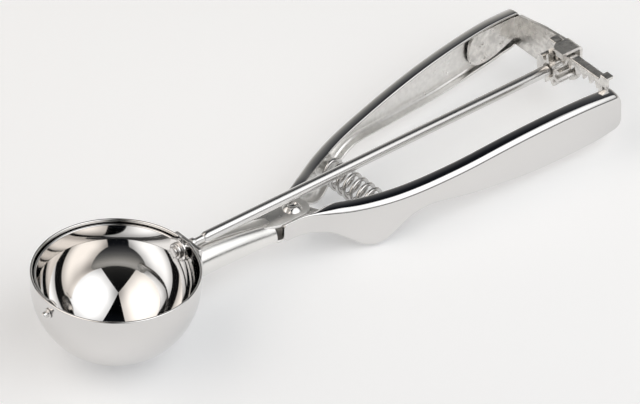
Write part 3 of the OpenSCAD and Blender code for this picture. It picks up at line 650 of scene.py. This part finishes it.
class SCOOP_OT_bowl(bpy.types.Operator):
    """Spun bowl with its straight band, rounded rim and the slot for the rod"""

    bl_idname = "scoop.bowl"
    bl_label = "Bowl"

    def execute(self, context):
        sizes = context.scene.scoop_sizes
        outer = sizes.bowl_radius
        inner = outer - sizes.bowl_wall
        lip = sizes.bowl_wall / 2
        profile = np.concatenate([
            arc((0, 0), outer, -90, 0, 64),
            [(outer, (sizes.rim_height - lip) * k / 4) for k in (1, 2, 3)],
            arc((outer - lip, sizes.rim_height - lip), lip, 0, 180, 9),
            [(inner, (sizes.rim_height - lip) * k / 4) for k in (3, 2, 1)],
            arc((0, 0), inner, 0, -90, 64),
        ])
        profile[[0, -1], 0] = 0
        bowl = make_piece("spun_bowl", [skin(turned_up(profile, 192), caps=False)],
                          [mirror_steel()], None, ["bowl"])
        cut_low = -sizes.slot_drop
        middle = sizes.slot_edge - sizes.slot_width / 2
        half = sizes.slot_width / 2
        outline = rounded([(middle - half, cut_low), (middle + half, cut_low),
                           (middle + half, 12 * MM), (middle - half, 12 * MM)],
                          [0.8 * MM, 0.8 * MM, 0, 0])
        rings = np.array([[(x, y, z) for y, z in outline]
                          for x in (inner - 6 * MM, outer + 4 * MM)])
        cutter = make_piece("slot_cutter", [skin(rings)], [mirror_steel()], None, [])
        cut = bowl.modifiers.new("slot", "BOOLEAN")
        cut.operation = "DIFFERENCE"
        cut.object = cutter
        cut.solver = "EXACT"
        ready = bowl.evaluated_get(context.evaluated_depsgraph_get())
        bowl.data = bpy.data.meshes.new_from_object(ready)
        bowl.modifiers.clear()
        bpy.data.objects.remove(cutter)
        bowl.data.set_sharp_from_angle(angle=math.radians(32))
        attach(bowl, "frame")
        return {"FINISHED"}


class SCOOP_OT_neck(bpy.types.Operator):
    """Saddle on the bowl, neck tube with its two cheeks, and the rod's upright front bearing"""

    bl_idname = "scoop.neck"
    bl_label = "Saddle, neck and bearing"

    def saddle(self, sizes):
        """A plate wrapped on the bowl: its outline is a circle cut off under the rim with a notch
        for the rod, and its points lie on the ball below the rod and on the band above."""
        base = sizes.bowl_radius + 0.05 * MM
        top = sizes.rim_height - 1 * MM
        centre = sizes.rim_height - 7 * MM
        edge_angle = math.degrees(math.asin((top - centre) / sizes.saddle_radius))
        half_slot = 1.9 * MM
        ring = arc((0, centre), sizes.saddle_radius, 180 - edge_angle, 360 + edge_angle, 90)
        notch = rounded([(ring[-1][0], top), (half_slot, top), (half_slot, -sizes.slot_drop),
                         (-half_slot, -sizes.slot_drop), (-half_slot, top), (ring[0][0], top)],
                        [0, 0.5 * MM, 0.9 * MM, 0.9 * MM, 0.5 * MM, 0], closed=False)
        outline = np.concatenate([ring[:-1], notch[:-1]])
        flat = stamped(outline, sizes.saddle_sheet, 0.35 * MM)
        hub = np.array([0, -9 * MM])
        shrink = np.linspace(1, 0.02, 16)[:, None, None]
        under = np.concatenate([hub + (flat[0, :, :2] - hub) * shrink,
                                np.zeros((16, flat.shape[1], 1))], -1)[::-1]
        over = np.concatenate([hub + (flat[-1, :, :2] - hub) * shrink,
                               np.full((16, flat.shape[1], 1), sizes.saddle_sheet)], -1)
        sheet = np.concatenate([under[:-1], flat, over[1:]])
        y, z, high = sheet[..., 0], sheet[..., 1], sheet[..., 2]
        radius = base + high
        sink = np.minimum(z, 0)
        x = np.sqrt(np.maximum(radius**2 - y**2 - sink**2, 0))
        return skin(np.stack([x, y, z], -1))

    def tube(self, sizes):
        """The neck: rings of four round corners whose half width, top, bottom and corner radius
        follow smooth curves from a round tube at the bowl to a flattened one at the cheeks, outside
        and then inside one wall in. Its front end is cut to the ball of the saddle."""
        drop = sizes.neck_radius + NECK_DROP
        rows = [(24, 0, 0, 1), (32, 0, 0, 1), (38, .06, .04, .97), (43, .16, .1, .92),
                (48, .31, .22, .84), (53, .5, .4, .74), (58, .74, .66, .6), (62, .93, .9, .5),
                (64.5, 1, 1, .46)]
        place = np.array([r[0] for r in rows]) * MM
        x = np.linspace(30 * MM, sizes.neck_end, 60)
        narrow, lift, round_off = (
            eased(np.stack([place, [r[k] for r in rows]], -1), x, 0.03) for k in (1, 2, 3))
        tube_top = sizes.neck_radius - NECK_DROP
        top = tube_top + (CHEEK_TOP - tube_top) * narrow
        low = -drop + (CHEEK_LOW + drop) * lift
        wide = sizes.neck_radius - 0.2 * MM * narrow
        below = (sizes.neck_radius - 0.01 * MM) * round_off
        above = (sizes.neck_radius - 0.01 * MM) * (1 - 0.35 * (1 - round_off))
        angle = np.radians(np.linspace(0, 90, 16))

        def walls(inset):
            shells = []
            for quarter, (side_y, side_z) in enumerate([(1, 1), (-1, 1), (-1, -1), (1, -1)]):
                turn = angle + quarter * math.pi / 2
                edge, corner = (top, above) if side_z > 0 else (low, below)
                y = side_y * (wide - corner)[:, None] + (corner - inset)[:, None] * np.cos(turn)
                z = (edge - side_z * corner)[:, None] + (corner - inset)[:, None] * np.sin(turn)
                shells.append(np.stack([np.repeat(x[:, None], len(turn), 1), y, z], -1))
            return np.concatenate(shells, 1)

        outside, inside = walls(0), walls(sizes.neck_wall)
        ball = sizes.bowl_radius + sizes.saddle_sheet + 0.02 * MM
        for shell in (outside, inside):
            cut = np.sqrt(ball**2 - shell[0, :, 1] ** 2 - shell[0, :, 2] ** 2)
            fade = np.linspace(1, 0, 12)[:, None]
            shell[:12, :, 0] = cut * fade + shell[11, :, 0] * (1 - fade)
        return skin(np.concatenate([outside, inside[::-1]]), caps=False, loop=True)

    def cheek(self, sizes, low):
        """A cheek: a strip that ends in a half circle round the rivet, with rounded edges."""
        rear = float(NECK_HIGH[0]) - sizes.cheek_radius
        front = sizes.neck_end - 4.5 * MM
        wide = sizes.cheek_radius
        start = sizes.neck_end + 1.5 * MM
        outline = np.concatenate([[(front, -2.6 * MM), (start, -wide)],
                                  arc((rear, 0), wide, -90, 90, 40),
                                  [(start, wide), (front, 2.6 * MM)]])
        plate = stamped(outline, CHEEK_SHEET, 0.25 * MM)
        places, faces, _ = skin(plate + np.array([0, 0, low]))
        return places, faces, [1] * len(faces)

    def execute(self, context):
        sizes = context.scene.scoop_sizes
        make_piece("pressed_saddle", [self.saddle(sizes)], [mirror_steel()], "frame", ["saddle"])
        skins = [self.tube(sizes), self.cheek(sizes, CHEEK_TOP - 1.01 * MM),
                 self.cheek(sizes, CHEEK_LOW + 0.01 * MM)]
        make_piece("neck_tube", skins, [brushed_steel(), satin_steel()], "frame", ["neck"])
        half = float(BEARING_HIGH[1])
        high = float(BEARING_HIGH[2])
        foot = sizes.neck_radius
        outline = rounded([(-half, high), (-half, -1.6 * MM), (-foot, -2.6 * MM), (-foot, -5 * MM),
                           (foot, -5 * MM), (foot, -2.6 * MM), (half, -1.6 * MM), (half, high)],
                          [0.9 * MM, 0.8 * MM, 0.5 * MM, 0, 0, 0.5 * MM, 0.8 * MM, 0.9 * MM])
        plate = stamped(outline, float(BEARING_HIGH[0] - BEARING_LOW[0]), 0.25 * MM)
        plate = plate[..., [2, 0, 1]] + np.array([BEARING_LOW[0], 0, 0])
        make_piece("upright_bearing", [skin(plate)], [turned_steel()], "frame", ["rod_bearing"])
        return {"FINISHED"}


class SCOOP_OT_handles(bpy.types.Operator):
    """The two channel handles, polished outside and satin inside"""

    bl_idname = "scoop.handles"
    bl_label = "Handles"

    def execute(self, context):
        sizes = context.scene.scoop_sizes
        gap = 0.15 * MM
        lever_top = CHEEK_TOP - CHEEK_SHEET - gap
        fixed_top = lever_top - sizes.lug_sheet - gap
        lever_low = CHEEK_LOW + CHEEK_SHEET + gap
        fixed_low = lever_low + sizes.lug_sheet + gap
        handle_piece("fixed_channel", "fixed_handle", "frame", 1, FIXED_LOW, FIXED_HIGH, 1.4 * MM,
                     [fixed_top, fixed_low + sizes.lug_sheet])
        handle_piece("lever_channel", "lever_handle", "lever", -1, LEVER_LOW, LEVER_HIGH, 2.6 * MM,
                     [lever_top, lever_low + sizes.lug_sheet])
        return {"FINISHED"}


class SCOOP_OT_pivot(bpy.types.Operator):
    """Domed rivet with its dimple, and the spacer tube inside the lugs"""

    bl_idname = "scoop.pivot"
    bl_label = "Rivet and spacer"

    def execute(self, context):
        sizes = context.scene.scoop_sizes
        low, high = (part[2] for part in extent("pivot_rivet"))
        head = sizes.rivet_head
        under = CHEEK_LOW - float(low)
        over = float(high) - CHEEK_TOP
        out = np.sin(np.linspace(math.pi / 2, 0, 40))
        crown = 1.6 * MM
        ball = (head**2 + crown**2) / (2 * crown)
        dome = crown - ball + np.sqrt(ball**2 - (head * out) ** 2) + 0.12 * MM
        dish_middle, dish_radius, dish_edge = 3.4 * MM, 2.8 * MM, 2.7 * MM
        dish = dish_middle - np.sqrt(dish_radius**2 - np.minimum(head * out, dish_edge) ** 2)
        ridge = 0.05 * MM
        lower_of_both = -ridge * np.log(np.exp(-dome / ridge) + np.exp(-dish / ridge))
        lower_of_both[0] = 0
        top = np.stack([head * out, CHEEK_TOP + np.minimum(lower_of_both, over)], -1)
        bottom = np.stack([head * out, CHEEK_LOW - under * np.sqrt(1 - out**2)], -1)[::-1]
        shank = 2 * MM
        profile = np.concatenate([bottom, [(shank, CHEEK_LOW), (shank, CHEEK_TOP)], top])
        profile[[0, -1], 0] = 0
        make_piece("domed_rivet", [skin(turned_up(profile, 64, (PIVOT_X, 0)), caps=False)],
                   [mirror_steel()], "frame", ["pivot_rivet"], crease=40)
        low, high = (part[2] for part in extent("pivot_spacer"))
        profile = rounded([(2.05 * MM, low), (3 * MM, low), (3 * MM, high), (2.05 * MM, high)],
                          0.15 * MM)
        make_piece("spacer_tube",
                   [skin(turned_up(profile, 48, (PIVOT_X, 0)), caps=False, loop=True)],
                   [dull_steel()], "frame", ["pivot_spacer"])
        return {"FINISHED"}


class SCOOP_OT_wiper(bpy.types.Operator):
    """Rod, hub, blade, far pin with its washer, and the clip behind the bridge"""

    bl_idname = "scoop.wiper"
    bl_label = "Rod and wiper"

    def rod(self):
        """The rod is a turned profile: head, thin journal, collar, cone, full rod and tail."""
        start, stop = float(ROD_LOW[0]), float(ROD_HIGH[0])
        full, thin, tail = float(ROD_HIGH[1]), 1.25 * MM, 1.5 * MM
        collar = float(BEARING_HIGH[0]) + 0.3 * MM
        head, cone = 0.7 * MM, 36.8 * MM
        shoulder = float(extent("pinion")[1][0])
        profile = rounded([
            (start, 0), (start, thin + 0.6 * MM), (start + head, thin + 0.6 * MM),
            (start + head, thin), (collar, thin), (collar, full - 0.1 * MM),
            (collar + 1.5 * MM, full - 0.1 * MM), (collar + 1.5 * MM, thin), (cone, thin),
            (cone, full - 0.45 * MM), (38 * MM, full), (shoulder, full), (shoulder, tail),
            (stop, tail), (stop, 0)], 0.25 * MM, closed=False)
        return make_piece("turned_rod", [skin(turned(profile, 72), caps=False)], [turned_steel()],
                          "wiper", ["drive_rod"], crease=40)

    def blade(self, sizes):
        """The blade: flat ovals, as wide as the strip or the round eye at its ends, set across the
        great circle on the fixed handle's side of the bowl and bent to the ball."""
        high = float(extent("wiper_blade")[1][1])
        sheet = sizes.blade_sheet
        eye = float(extent("wiper_blade")[1][2])
        reach = eye / high
        end = -np.sin(np.radians(np.linspace(90, 0, 24))) * reach
        middle = np.linspace(0, math.pi, 150)[1:-1]
        around = np.concatenate([end, middle, math.pi - end[::-1]])
        from_eye = high * np.minimum(np.abs(around), np.abs(math.pi - around))
        outside = np.where((around < 0) | (around > math.pi), 0, 1)
        round_eye = np.sqrt(np.maximum(eye**2 - from_eye**2, (0.02 * MM) ** 2))
        strip = sizes.blade_width / 2 * outside
        ease, corner = 0.4 * MM, 0.35 * MM
        half = np.log(np.exp(round_eye / ease) + np.exp(strip / ease) * outside)
        half = np.where(outside == 1, np.minimum(half * ease, eye), round_eye)
        edge = np.minimum(corner, half * 0.9)
        flat = np.radians(np.linspace(0, 90, 5))
        rings = []
        for quarter, (side_w, side_t) in enumerate([(1, 1), (-1, 1), (-1, -1), (1, -1)]):
            turn = flat + quarter * math.pi / 2
            across = side_w * (half - edge)[:, None] + edge[:, None] * np.cos(turn)
            thick = side_t * (sheet / 2 - corner) + corner * np.sin(turn)
            rings.append(np.stack([across, np.broadcast_to(thick, across.shape)], -1))
        section = np.concatenate(rings, 1)
        radius = high - sheet / 2 + section[..., 1]
        tilt = section[..., 0] / high
        x = radius * np.cos(around)[:, None] * np.cos(tilt)
        y = radius * np.sin(around)[:, None] * np.cos(tilt)
        return skin(np.stack([x, y, radius * np.sin(tilt)], -1))

    def execute(self, context):
        sizes = context.scene.scoop_sizes
        self.rod()
        make_piece("wiper_strip", [self.blade(sizes)], [mirror_steel()], "wiper", ["wiper_blade"])
        low, high = extent("blade_hub")
        profile = rounded([(low[0], 0), (low[0], high[1]), (high[0], high[1]), (high[0], 0)],
                          0.4 * MM, closed=False)
        make_piece("hub_collar", [skin(turned(profile, 56), caps=False)], [turned_steel()], "wiper",
                   ["blade_hub"])
        pin = 1.1 * MM
        head = float(PIN_HIGH[1])
        start, stop = float(PIN_LOW[0]), float(PIN_HIGH[0])
        profile = rounded([(start, 0), (start, pin), (stop - 0.7 * MM, pin),
                           (stop - 0.7 * MM, head), (stop, head), (stop, 0)],
                          [0, 1.1 * MM, 0.1 * MM, 0.1 * MM, 0.4 * MM, 0], closed=False)
        make_piece("far_pin", [skin(turned(profile, 48), caps=False)], [mirror_steel()], "wiper",
                   ["blade_pin"])
        for node, name, bore in (("pin_washer", "washer", pin),
                                 ("rod_clip", "clip_ring", 1.5 * MM)):
            low, high = extent(node)
            profile = rounded([(low[0], bore), (low[0], high[1]), (high[0], high[1]),
                               (high[0], bore)], 0.2 * MM)
            make_piece(name, [skin(turned(profile, 48), caps=False, loop=True)], [turned_steel()],
                       "wiper", [node])
        return {"FINISHED"}


class SCOOP_OT_gear_end(bpy.types.Operator):
    """Bridge, rack, rack bracket and pinion with softened edges, and their spot welds"""

    bl_idname = "scoop.gear_end"
    bl_label = "Bridge, rack and pinion"

    def execute(self, context):
        softened_copy("gear_bridge", "stamped_bridge", dull_steel(), "frame", 0.18 * MM)
        softened_copy("rack", "stamped_rack", dull_steel(), "lever", 0.15 * MM)
        softened_copy("rack_bracket", "rack_plate", dull_steel(), "lever", 0.15 * MM)
        softened_copy("pinion", "cut_pinion", dull_steel(), "wiper", 0.08 * MM)
        for node in ("bridge_welds", "rack_welds"):
            weld = frame["nodes"][node]
            weld.data.materials.clear()
            weld.data.materials.append(dull_steel())
        return {"FINISHED"}


class SCOOP_OT_spring(bpy.types.Operator):
    """Coil spring between the handles, and its two seats"""

    bl_idname = "scoop.spring"
    bl_label = "Spring and seats"

    def wire(self, sizes):
        """Round wire carried along a helix about an axis across the scoop. Both ends turn from the
        coil's direction to straight across in a quarter bend, and run straight on to the seats."""
        low, high = SPRING_LOW, SPRING_HIGH
        reach = float(high[1])
        radius, wire = sizes.coil_radius, sizes.wire
        bend = wire
        coils = 7
        centre = np.array([(low[0] + high[0]) / 2, 0, (low[2] + high[2]) / 2])
        half = reach - wire - bend
        pitch_angle = math.atan2(2 * half, 2 * math.pi * radius * coils)
        turn = np.linspace(0, 2 * math.pi * coils, 40 * coils + 1)
        helix = np.stack([radius * np.cos(turn), half - half * turn / (math.pi * coils),
                          radius * np.sin(turn)], -1)
        around, across = math.cos(pitch_angle), math.sin(pitch_angle)
        along = np.stack([-np.sin(turn) * around, np.full_like(turn, -across),
                          np.cos(turn) * around], -1)
        down = np.array([0, -1, 0])
        share_bent = np.radians(np.linspace(0, 90, 10))[1:, None]
        first, last = along[0], along[-1]
        head = helix[0] - bend * (np.sin(share_bent) * first + (1 - np.cos(share_bent)) * down)
        tail = helix[-1] + bend * (np.sin(share_bent) * last + (1 - np.cos(share_bent)) * down)
        top = np.array([head[-1][0], reach, head[-1][2]])
        bottom = np.array([tail[-1][0], -reach, tail[-1][2]])
        path = np.concatenate([[top], head[::-1], helix, tail, [bottom]])
        tangent = np.gradient(path, axis=0)
        tangent /= np.linalg.norm(tangent, axis=1, keepdims=True)
        tangent[0] = tangent[-1] = down
        outward = path * np.array([1, 0, 1])
        outward -= (outward * tangent).sum(1, keepdims=True) * tangent
        outward /= np.linalg.norm(outward, axis=1, keepdims=True)
        side = np.cross(tangent, outward)
        angle = np.linspace(0, 2 * math.pi, 18, endpoint=False)[None, :, None]
        return skin(centre + path[:, None] + wire / 2 * (np.cos(angle) * outward[:, None]
                                                         + np.sin(angle) * side[:, None]))

    def execute(self, context):
        sizes = context.scene.scoop_sizes
        spring = make_piece("coil_spring", [self.wire(sizes)], [drawn_wire()], None,
                            ["handle_spring"], crease=60)
        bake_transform(spring)
        for node in ("spring_seat_fixed", "spring_seat_lever"):
            seat = frame["nodes"][node]
            seat.data.materials.clear()
            seat.data.materials.append(satin_steel())
        return {"FINISHED"}


class SCOOP_OT_stage(bpy.types.Operator):
    """Pale floor, dark room, two softboxes that meet above the camera, and the camera"""

    bl_idname = "scoop.stage"
    bl_label = "Studio"

    def set_out(self, name, places, faces, material, smooth=False):
        """A mesh of the studio, linked to the scene in its material."""
        mesh = bpy.data.meshes.new(name)
        mesh.from_pydata(places, [], faces)
        if smooth:
            mesh.polygons.foreach_set("use_smooth", np.ones(len(mesh.polygons), bool))
        mesh.materials.append(material)
        thing = bpy.data.objects.new(name, mesh)
        bpy.context.scene.collection.objects.link(thing)
        return thing

    def floor(self, studio):
        """A disc that sweeps up at its far edge. Its shade keeps the scoop's shadow near the
        middle, and far out it is the floor's own colour for the camera and for reflections."""
        near, wide, rise = 3, 18, 1.3
        radius = np.concatenate([np.linspace(0, near, 25), np.linspace(near, wide, 16)[1:]])
        sweep = np.radians(np.linspace(0, 90, 9))[1:]
        edge = np.stack([wide + rise * np.sin(sweep), rise * (1 - np.cos(sweep))], -1)
        profile = np.concatenate([np.stack([radius, np.zeros_like(radius)], -1), edge])
        places, faces, _ = skin(turned_up(profile, 128), caps=False)
        material, tree, surface = blank_material("floor_paper")
        paper = tree.nodes.new("ShaderNodeBsdfDiffuse")
        glow = tree.nodes.new("ShaderNodeEmission")
        both = tree.nodes.new("ShaderNodeAddShader")
        far = tree.nodes.new("ShaderNodeEmission")
        mix = tree.nodes.new("ShaderNodeMixShader")
        far.inputs["Color"].default_value = (*studio.floor_tint, 1)
        seen = seen_rays(tree)
        place = tree.nodes.new("ShaderNodeTexCoord").outputs["Object"]
        # Painted shade: the floor is darker on the camera's side and lighter behind, in its glow
        # too.
        painted_floor_shade = tree.nodes.new("ShaderNodeValToRGB")
        painted_floor_shade.color_ramp.elements[0].color = (*studio.shaded_front_tint, 1)
        painted_floor_shade.color_ramp.elements[1].color = (*studio.lit_back_tint, 1)
        depth = add_vector_maths(tree, "DOT_PRODUCT", place, (0.77, 0.64, 0))
        distance = add_vector_maths(tree, "LENGTH", place)
        for source, target in (
                (add_maths(tree, "MULTIPLY", seen, studio.floor_glow), glow.inputs["Strength"]),
                (seen, far.inputs["Strength"]),
                (add_range(tree, depth, 0, 1, -0.17, 0.15, smooth=True), painted_floor_shade.inputs["Fac"]),
                (painted_floor_shade.outputs["Color"], paper.inputs["Color"]),
                (painted_floor_shade.outputs["Color"], glow.inputs["Color"]),
                (add_range(tree, distance, 0, 1, 0.35, 1.6, smooth=True), mix.inputs["Fac"]),
                (paper.outputs[0], both.inputs[0]),
                (glow.outputs[0], both.inputs[1]),
                (both.outputs[0], mix.inputs[1]),
                (far.outputs[0], mix.inputs[2]),
                (mix.outputs[0], surface)):
            tree.links.new(source, target)
        floor = self.set_out("pale_floor", places, faces, material, smooth=True)

    def room(self, studio):
        """What the metal mirrors between the softboxes: part of a ball, seen by reflections alone.
        It is pale above the floor, darkens with height, and is near black at the camera's side."""
        reach = 12
        height = np.radians(np.linspace(5, 90, 40))
        profile = np.stack([reach * np.cos(height), reach * np.sin(height)], -1)
        profile[-1, 0] = 0
        places, faces, _ = skin(turned_up(profile, 96), caps=False)
        material, tree, surface = blank_material("dark_room")
        glow = tree.nodes.new("ShaderNodeEmission")
        place = tree.nodes.new("ShaderNodeTexCoord").outputs["Object"]
        parts = tree.nodes.new("ShaderNodeSeparateXYZ")
        tree.links.new(place, parts.inputs[0])
        ramp = tree.nodes.new("ShaderNodeValToRGB")
        tree.links.new(add_maths(tree, "DIVIDE", parts.outputs["Z"], reach), ramp.inputs["Fac"])
        stops = [(0.08, (0.68, 0.67, 0.65)), (0.3, (0.43, 0.42, 0.4)), (0.5, (0.2, 0.2, 0.195)),
                 (0.7, (0.08, 0.081, 0.085)), (0.9, studio.room_tint)]
        while len(ramp.color_ramp.elements) < len(stops):
            ramp.color_ramp.elements.new(0.5)
        for stop, (position, tint) in zip(ramp.color_ramp.elements, stops):
            stop.position = position
            stop.color = (*tint, 1)
        to_camera = (-0.67 / reach, -0.74 / reach, 0)
        toward = add_vector_maths(tree, "DOT_PRODUCT", place, to_camera)
        tree.links.new(ramp.outputs["Color"], glow.inputs["Color"])
        tree.links.new(add_range(tree, toward, 1, 0.08, -0.6, 0.1), glow.inputs["Strength"])
        tree.links.new(glow.outputs[0], surface)
        room = self.set_out("dark_room", places, faces, material)
        room.visible_camera = False
        room.visible_diffuse = False
        room.visible_transmission = False
        room.visible_volume_scatter = False
        room.visible_shadow = False

    def softbox(self, name, corner, across, down, tint, strength):
        """A glowing panel from one corner and its two sides. Its glow is a plateau with soft edges:
        smooth steps of the place across it and down it, from half to full, multiplied."""
        material, tree, surface = blank_material(name)
        glow = tree.nodes.new("ShaderNodeEmission")
        glow.inputs["Color"].default_value = (*tint, 1)
        coords = tree.nodes.new("ShaderNodeUVMap")
        coords.uv_map = "panel"
        parts = tree.nodes.new("ShaderNodeSeparateXYZ")
        tree.links.new(coords.outputs["UV"], parts.inputs[0])
        steps = []
        for axis in (0, 1):
            off_middle = add_maths(tree, "SUBTRACT", parts.outputs[axis], 0.5)
            off_middle = add_maths(tree, "ABSOLUTE", off_middle)
            steps.append(add_range(tree, off_middle, 0.5, 1, 0.5, 0.1, smooth=True))
        plateau = add_maths(tree, "MULTIPLY", *steps)
        tree.links.new(add_maths(tree, "MULTIPLY", plateau, strength), glow.inputs["Strength"])
        tree.links.new(glow.outputs[0], surface)
        corners = [corner, corner + across, corner + across + down, corner + down]
        panel = self.set_out(name, corners, [[0, 1, 2, 3]], material)
        layer = panel.data.uv_layers.new(name="panel")
        layer.data.foreach_set("uv", np.array([0, 0, 1, 0, 1, 1, 0, 1], np.float32))
        panel.visible_camera = False

    def camera(self, studio):
        """The camera's place and directions in the scoop's own frame, turned with the scoop."""
        place = settle(np.array([-1993.76, -2466.57, 2438.47]) * MM)
        right = np.array([0.7710, -0.6367, 0.0139])
        above = np.array([0.3763, 0.4730, 0.7967])
        toward = np.cross(right, above)
        turn = np.stack([right, above, toward]) @ AXES
        data = bpy.data.cameras.new("camera")
        data.lens = studio.lens
        data.sensor_width = 36
        data.clip_start = 0.1
        data.clip_end = 100
        camera = bpy.data.objects.new("camera", data)
        bpy.context.scene.collection.objects.link(camera)
        matrix = Matrix.Identity(4)
        for row in range(3):
            for column in range(3):
                matrix[row][column] = turn[column][row]
            matrix[row][3] = place[row]
        camera.matrix_world = matrix
        bpy.context.scene.camera = camera

    def execute(self, context):
        studio = context.scene.scoop_studio
        self.floor(studio)
        self.room(studio)
        world = bpy.data.worlds.new("pale_room")
        world.use_nodes = True
        backdrop = world.node_tree.nodes["Background"]
        backdrop.inputs["Color"].default_value = (*studio.floor_tint, 1)
        strength = add_maths(world.node_tree, "MULTIPLY_ADD", seen_rays(world.node_tree),
                             1 - studio.fill, studio.fill)
        world.node_tree.links.new(strength, backdrop.inputs["Strength"])
        context.scene.world = world
        scale = 0.6
        left_corner = MIDDLE + scale * np.array([-0.732, -0.843, 1.72])
        left_across = scale * 2.2 * np.array([0.5, 0.866, 0])
        left_down = scale * 1.75 * np.array([-0.59, 0.17, -0.79])
        right_corner = MIDDLE + scale * np.array([-0.653, -0.752, 1.535])
        right_across = scale * 1.9 * np.array([0.88, 0.474, -0.04])
        right_down = scale * 1.52 * np.array([0.172, -0.603, -0.779])
        self.softbox("softbox_left", left_corner, left_across, left_down, studio.box_tint,
                     studio.box_glow)
        self.softbox("softbox_right", right_corner, right_across, right_down, (1, 1, 1),
                     studio.box_glow)
        self.camera(studio)
        context.scene.view_settings.view_transform = "Standard"
        return {"FINISHED"}


class SCOOP_PT_panel(bpy.types.Panel):
    """The scoop's pieces in the sidebar"""

    bl_idname = "SCOOP_PT_panel"
    bl_label = "Ice Cream Scoop"
    bl_space_type = "VIEW_3D"
    bl_region_type = "UI"
    bl_category = "Scoop"

    def draw(self, context):
        for operator in OPERATORS:
            self.layout.operator(operator.bl_idname)
        for group in (context.scene.scoop_sizes, context.scene.scoop_finishes,
                      context.scene.scoop_studio):
            column = self.layout.column(align=True)
            for key in group.bl_rna.properties.keys():
                if key not in ("rna_type", "name"):
                    column.prop(group, key)


OPERATORS = (SCOOP_OT_bowl, SCOOP_OT_neck, SCOOP_OT_handles, SCOOP_OT_pivot, SCOOP_OT_wiper,
             SCOOP_OT_gear_end, SCOOP_OT_spring, SCOOP_OT_stage)
GROUPS = (ScoopSizes, ScoopFinishes, ScoopStudio)


def register():
    for cls in (*GROUPS, *OPERATORS, SCOOP_PT_panel):
        bpy.utils.register_class(cls)
    bpy.types.Scene.scoop_sizes = PointerProperty(type=ScoopSizes)
    bpy.types.Scene.scoop_finishes = PointerProperty(type=ScoopFinishes)
    bpy.types.Scene.scoop_studio = PointerProperty(type=ScoopStudio)


def unregister():
    del bpy.types.Scene.scoop_studio
    del bpy.types.Scene.scoop_finishes
    del bpy.types.Scene.scoop_sizes
    for cls in (SCOOP_PT_panel, *reversed(OPERATORS), *reversed(GROUPS)):
        bpy.utils.unregister_class(cls)


def main():
    """Builds every piece."""
    register()
    bpy.ops.scoop.bowl()
    bpy.ops.scoop.neck()
    bpy.ops.scoop.handles()
    bpy.ops.scoop.pivot()
    bpy.ops.scoop.wiper()
    bpy.ops.scoop.gear_end()
    bpy.ops.scoop.spring()
    bpy.ops.scoop.stage()


if __name__ == "__main__":
    main()
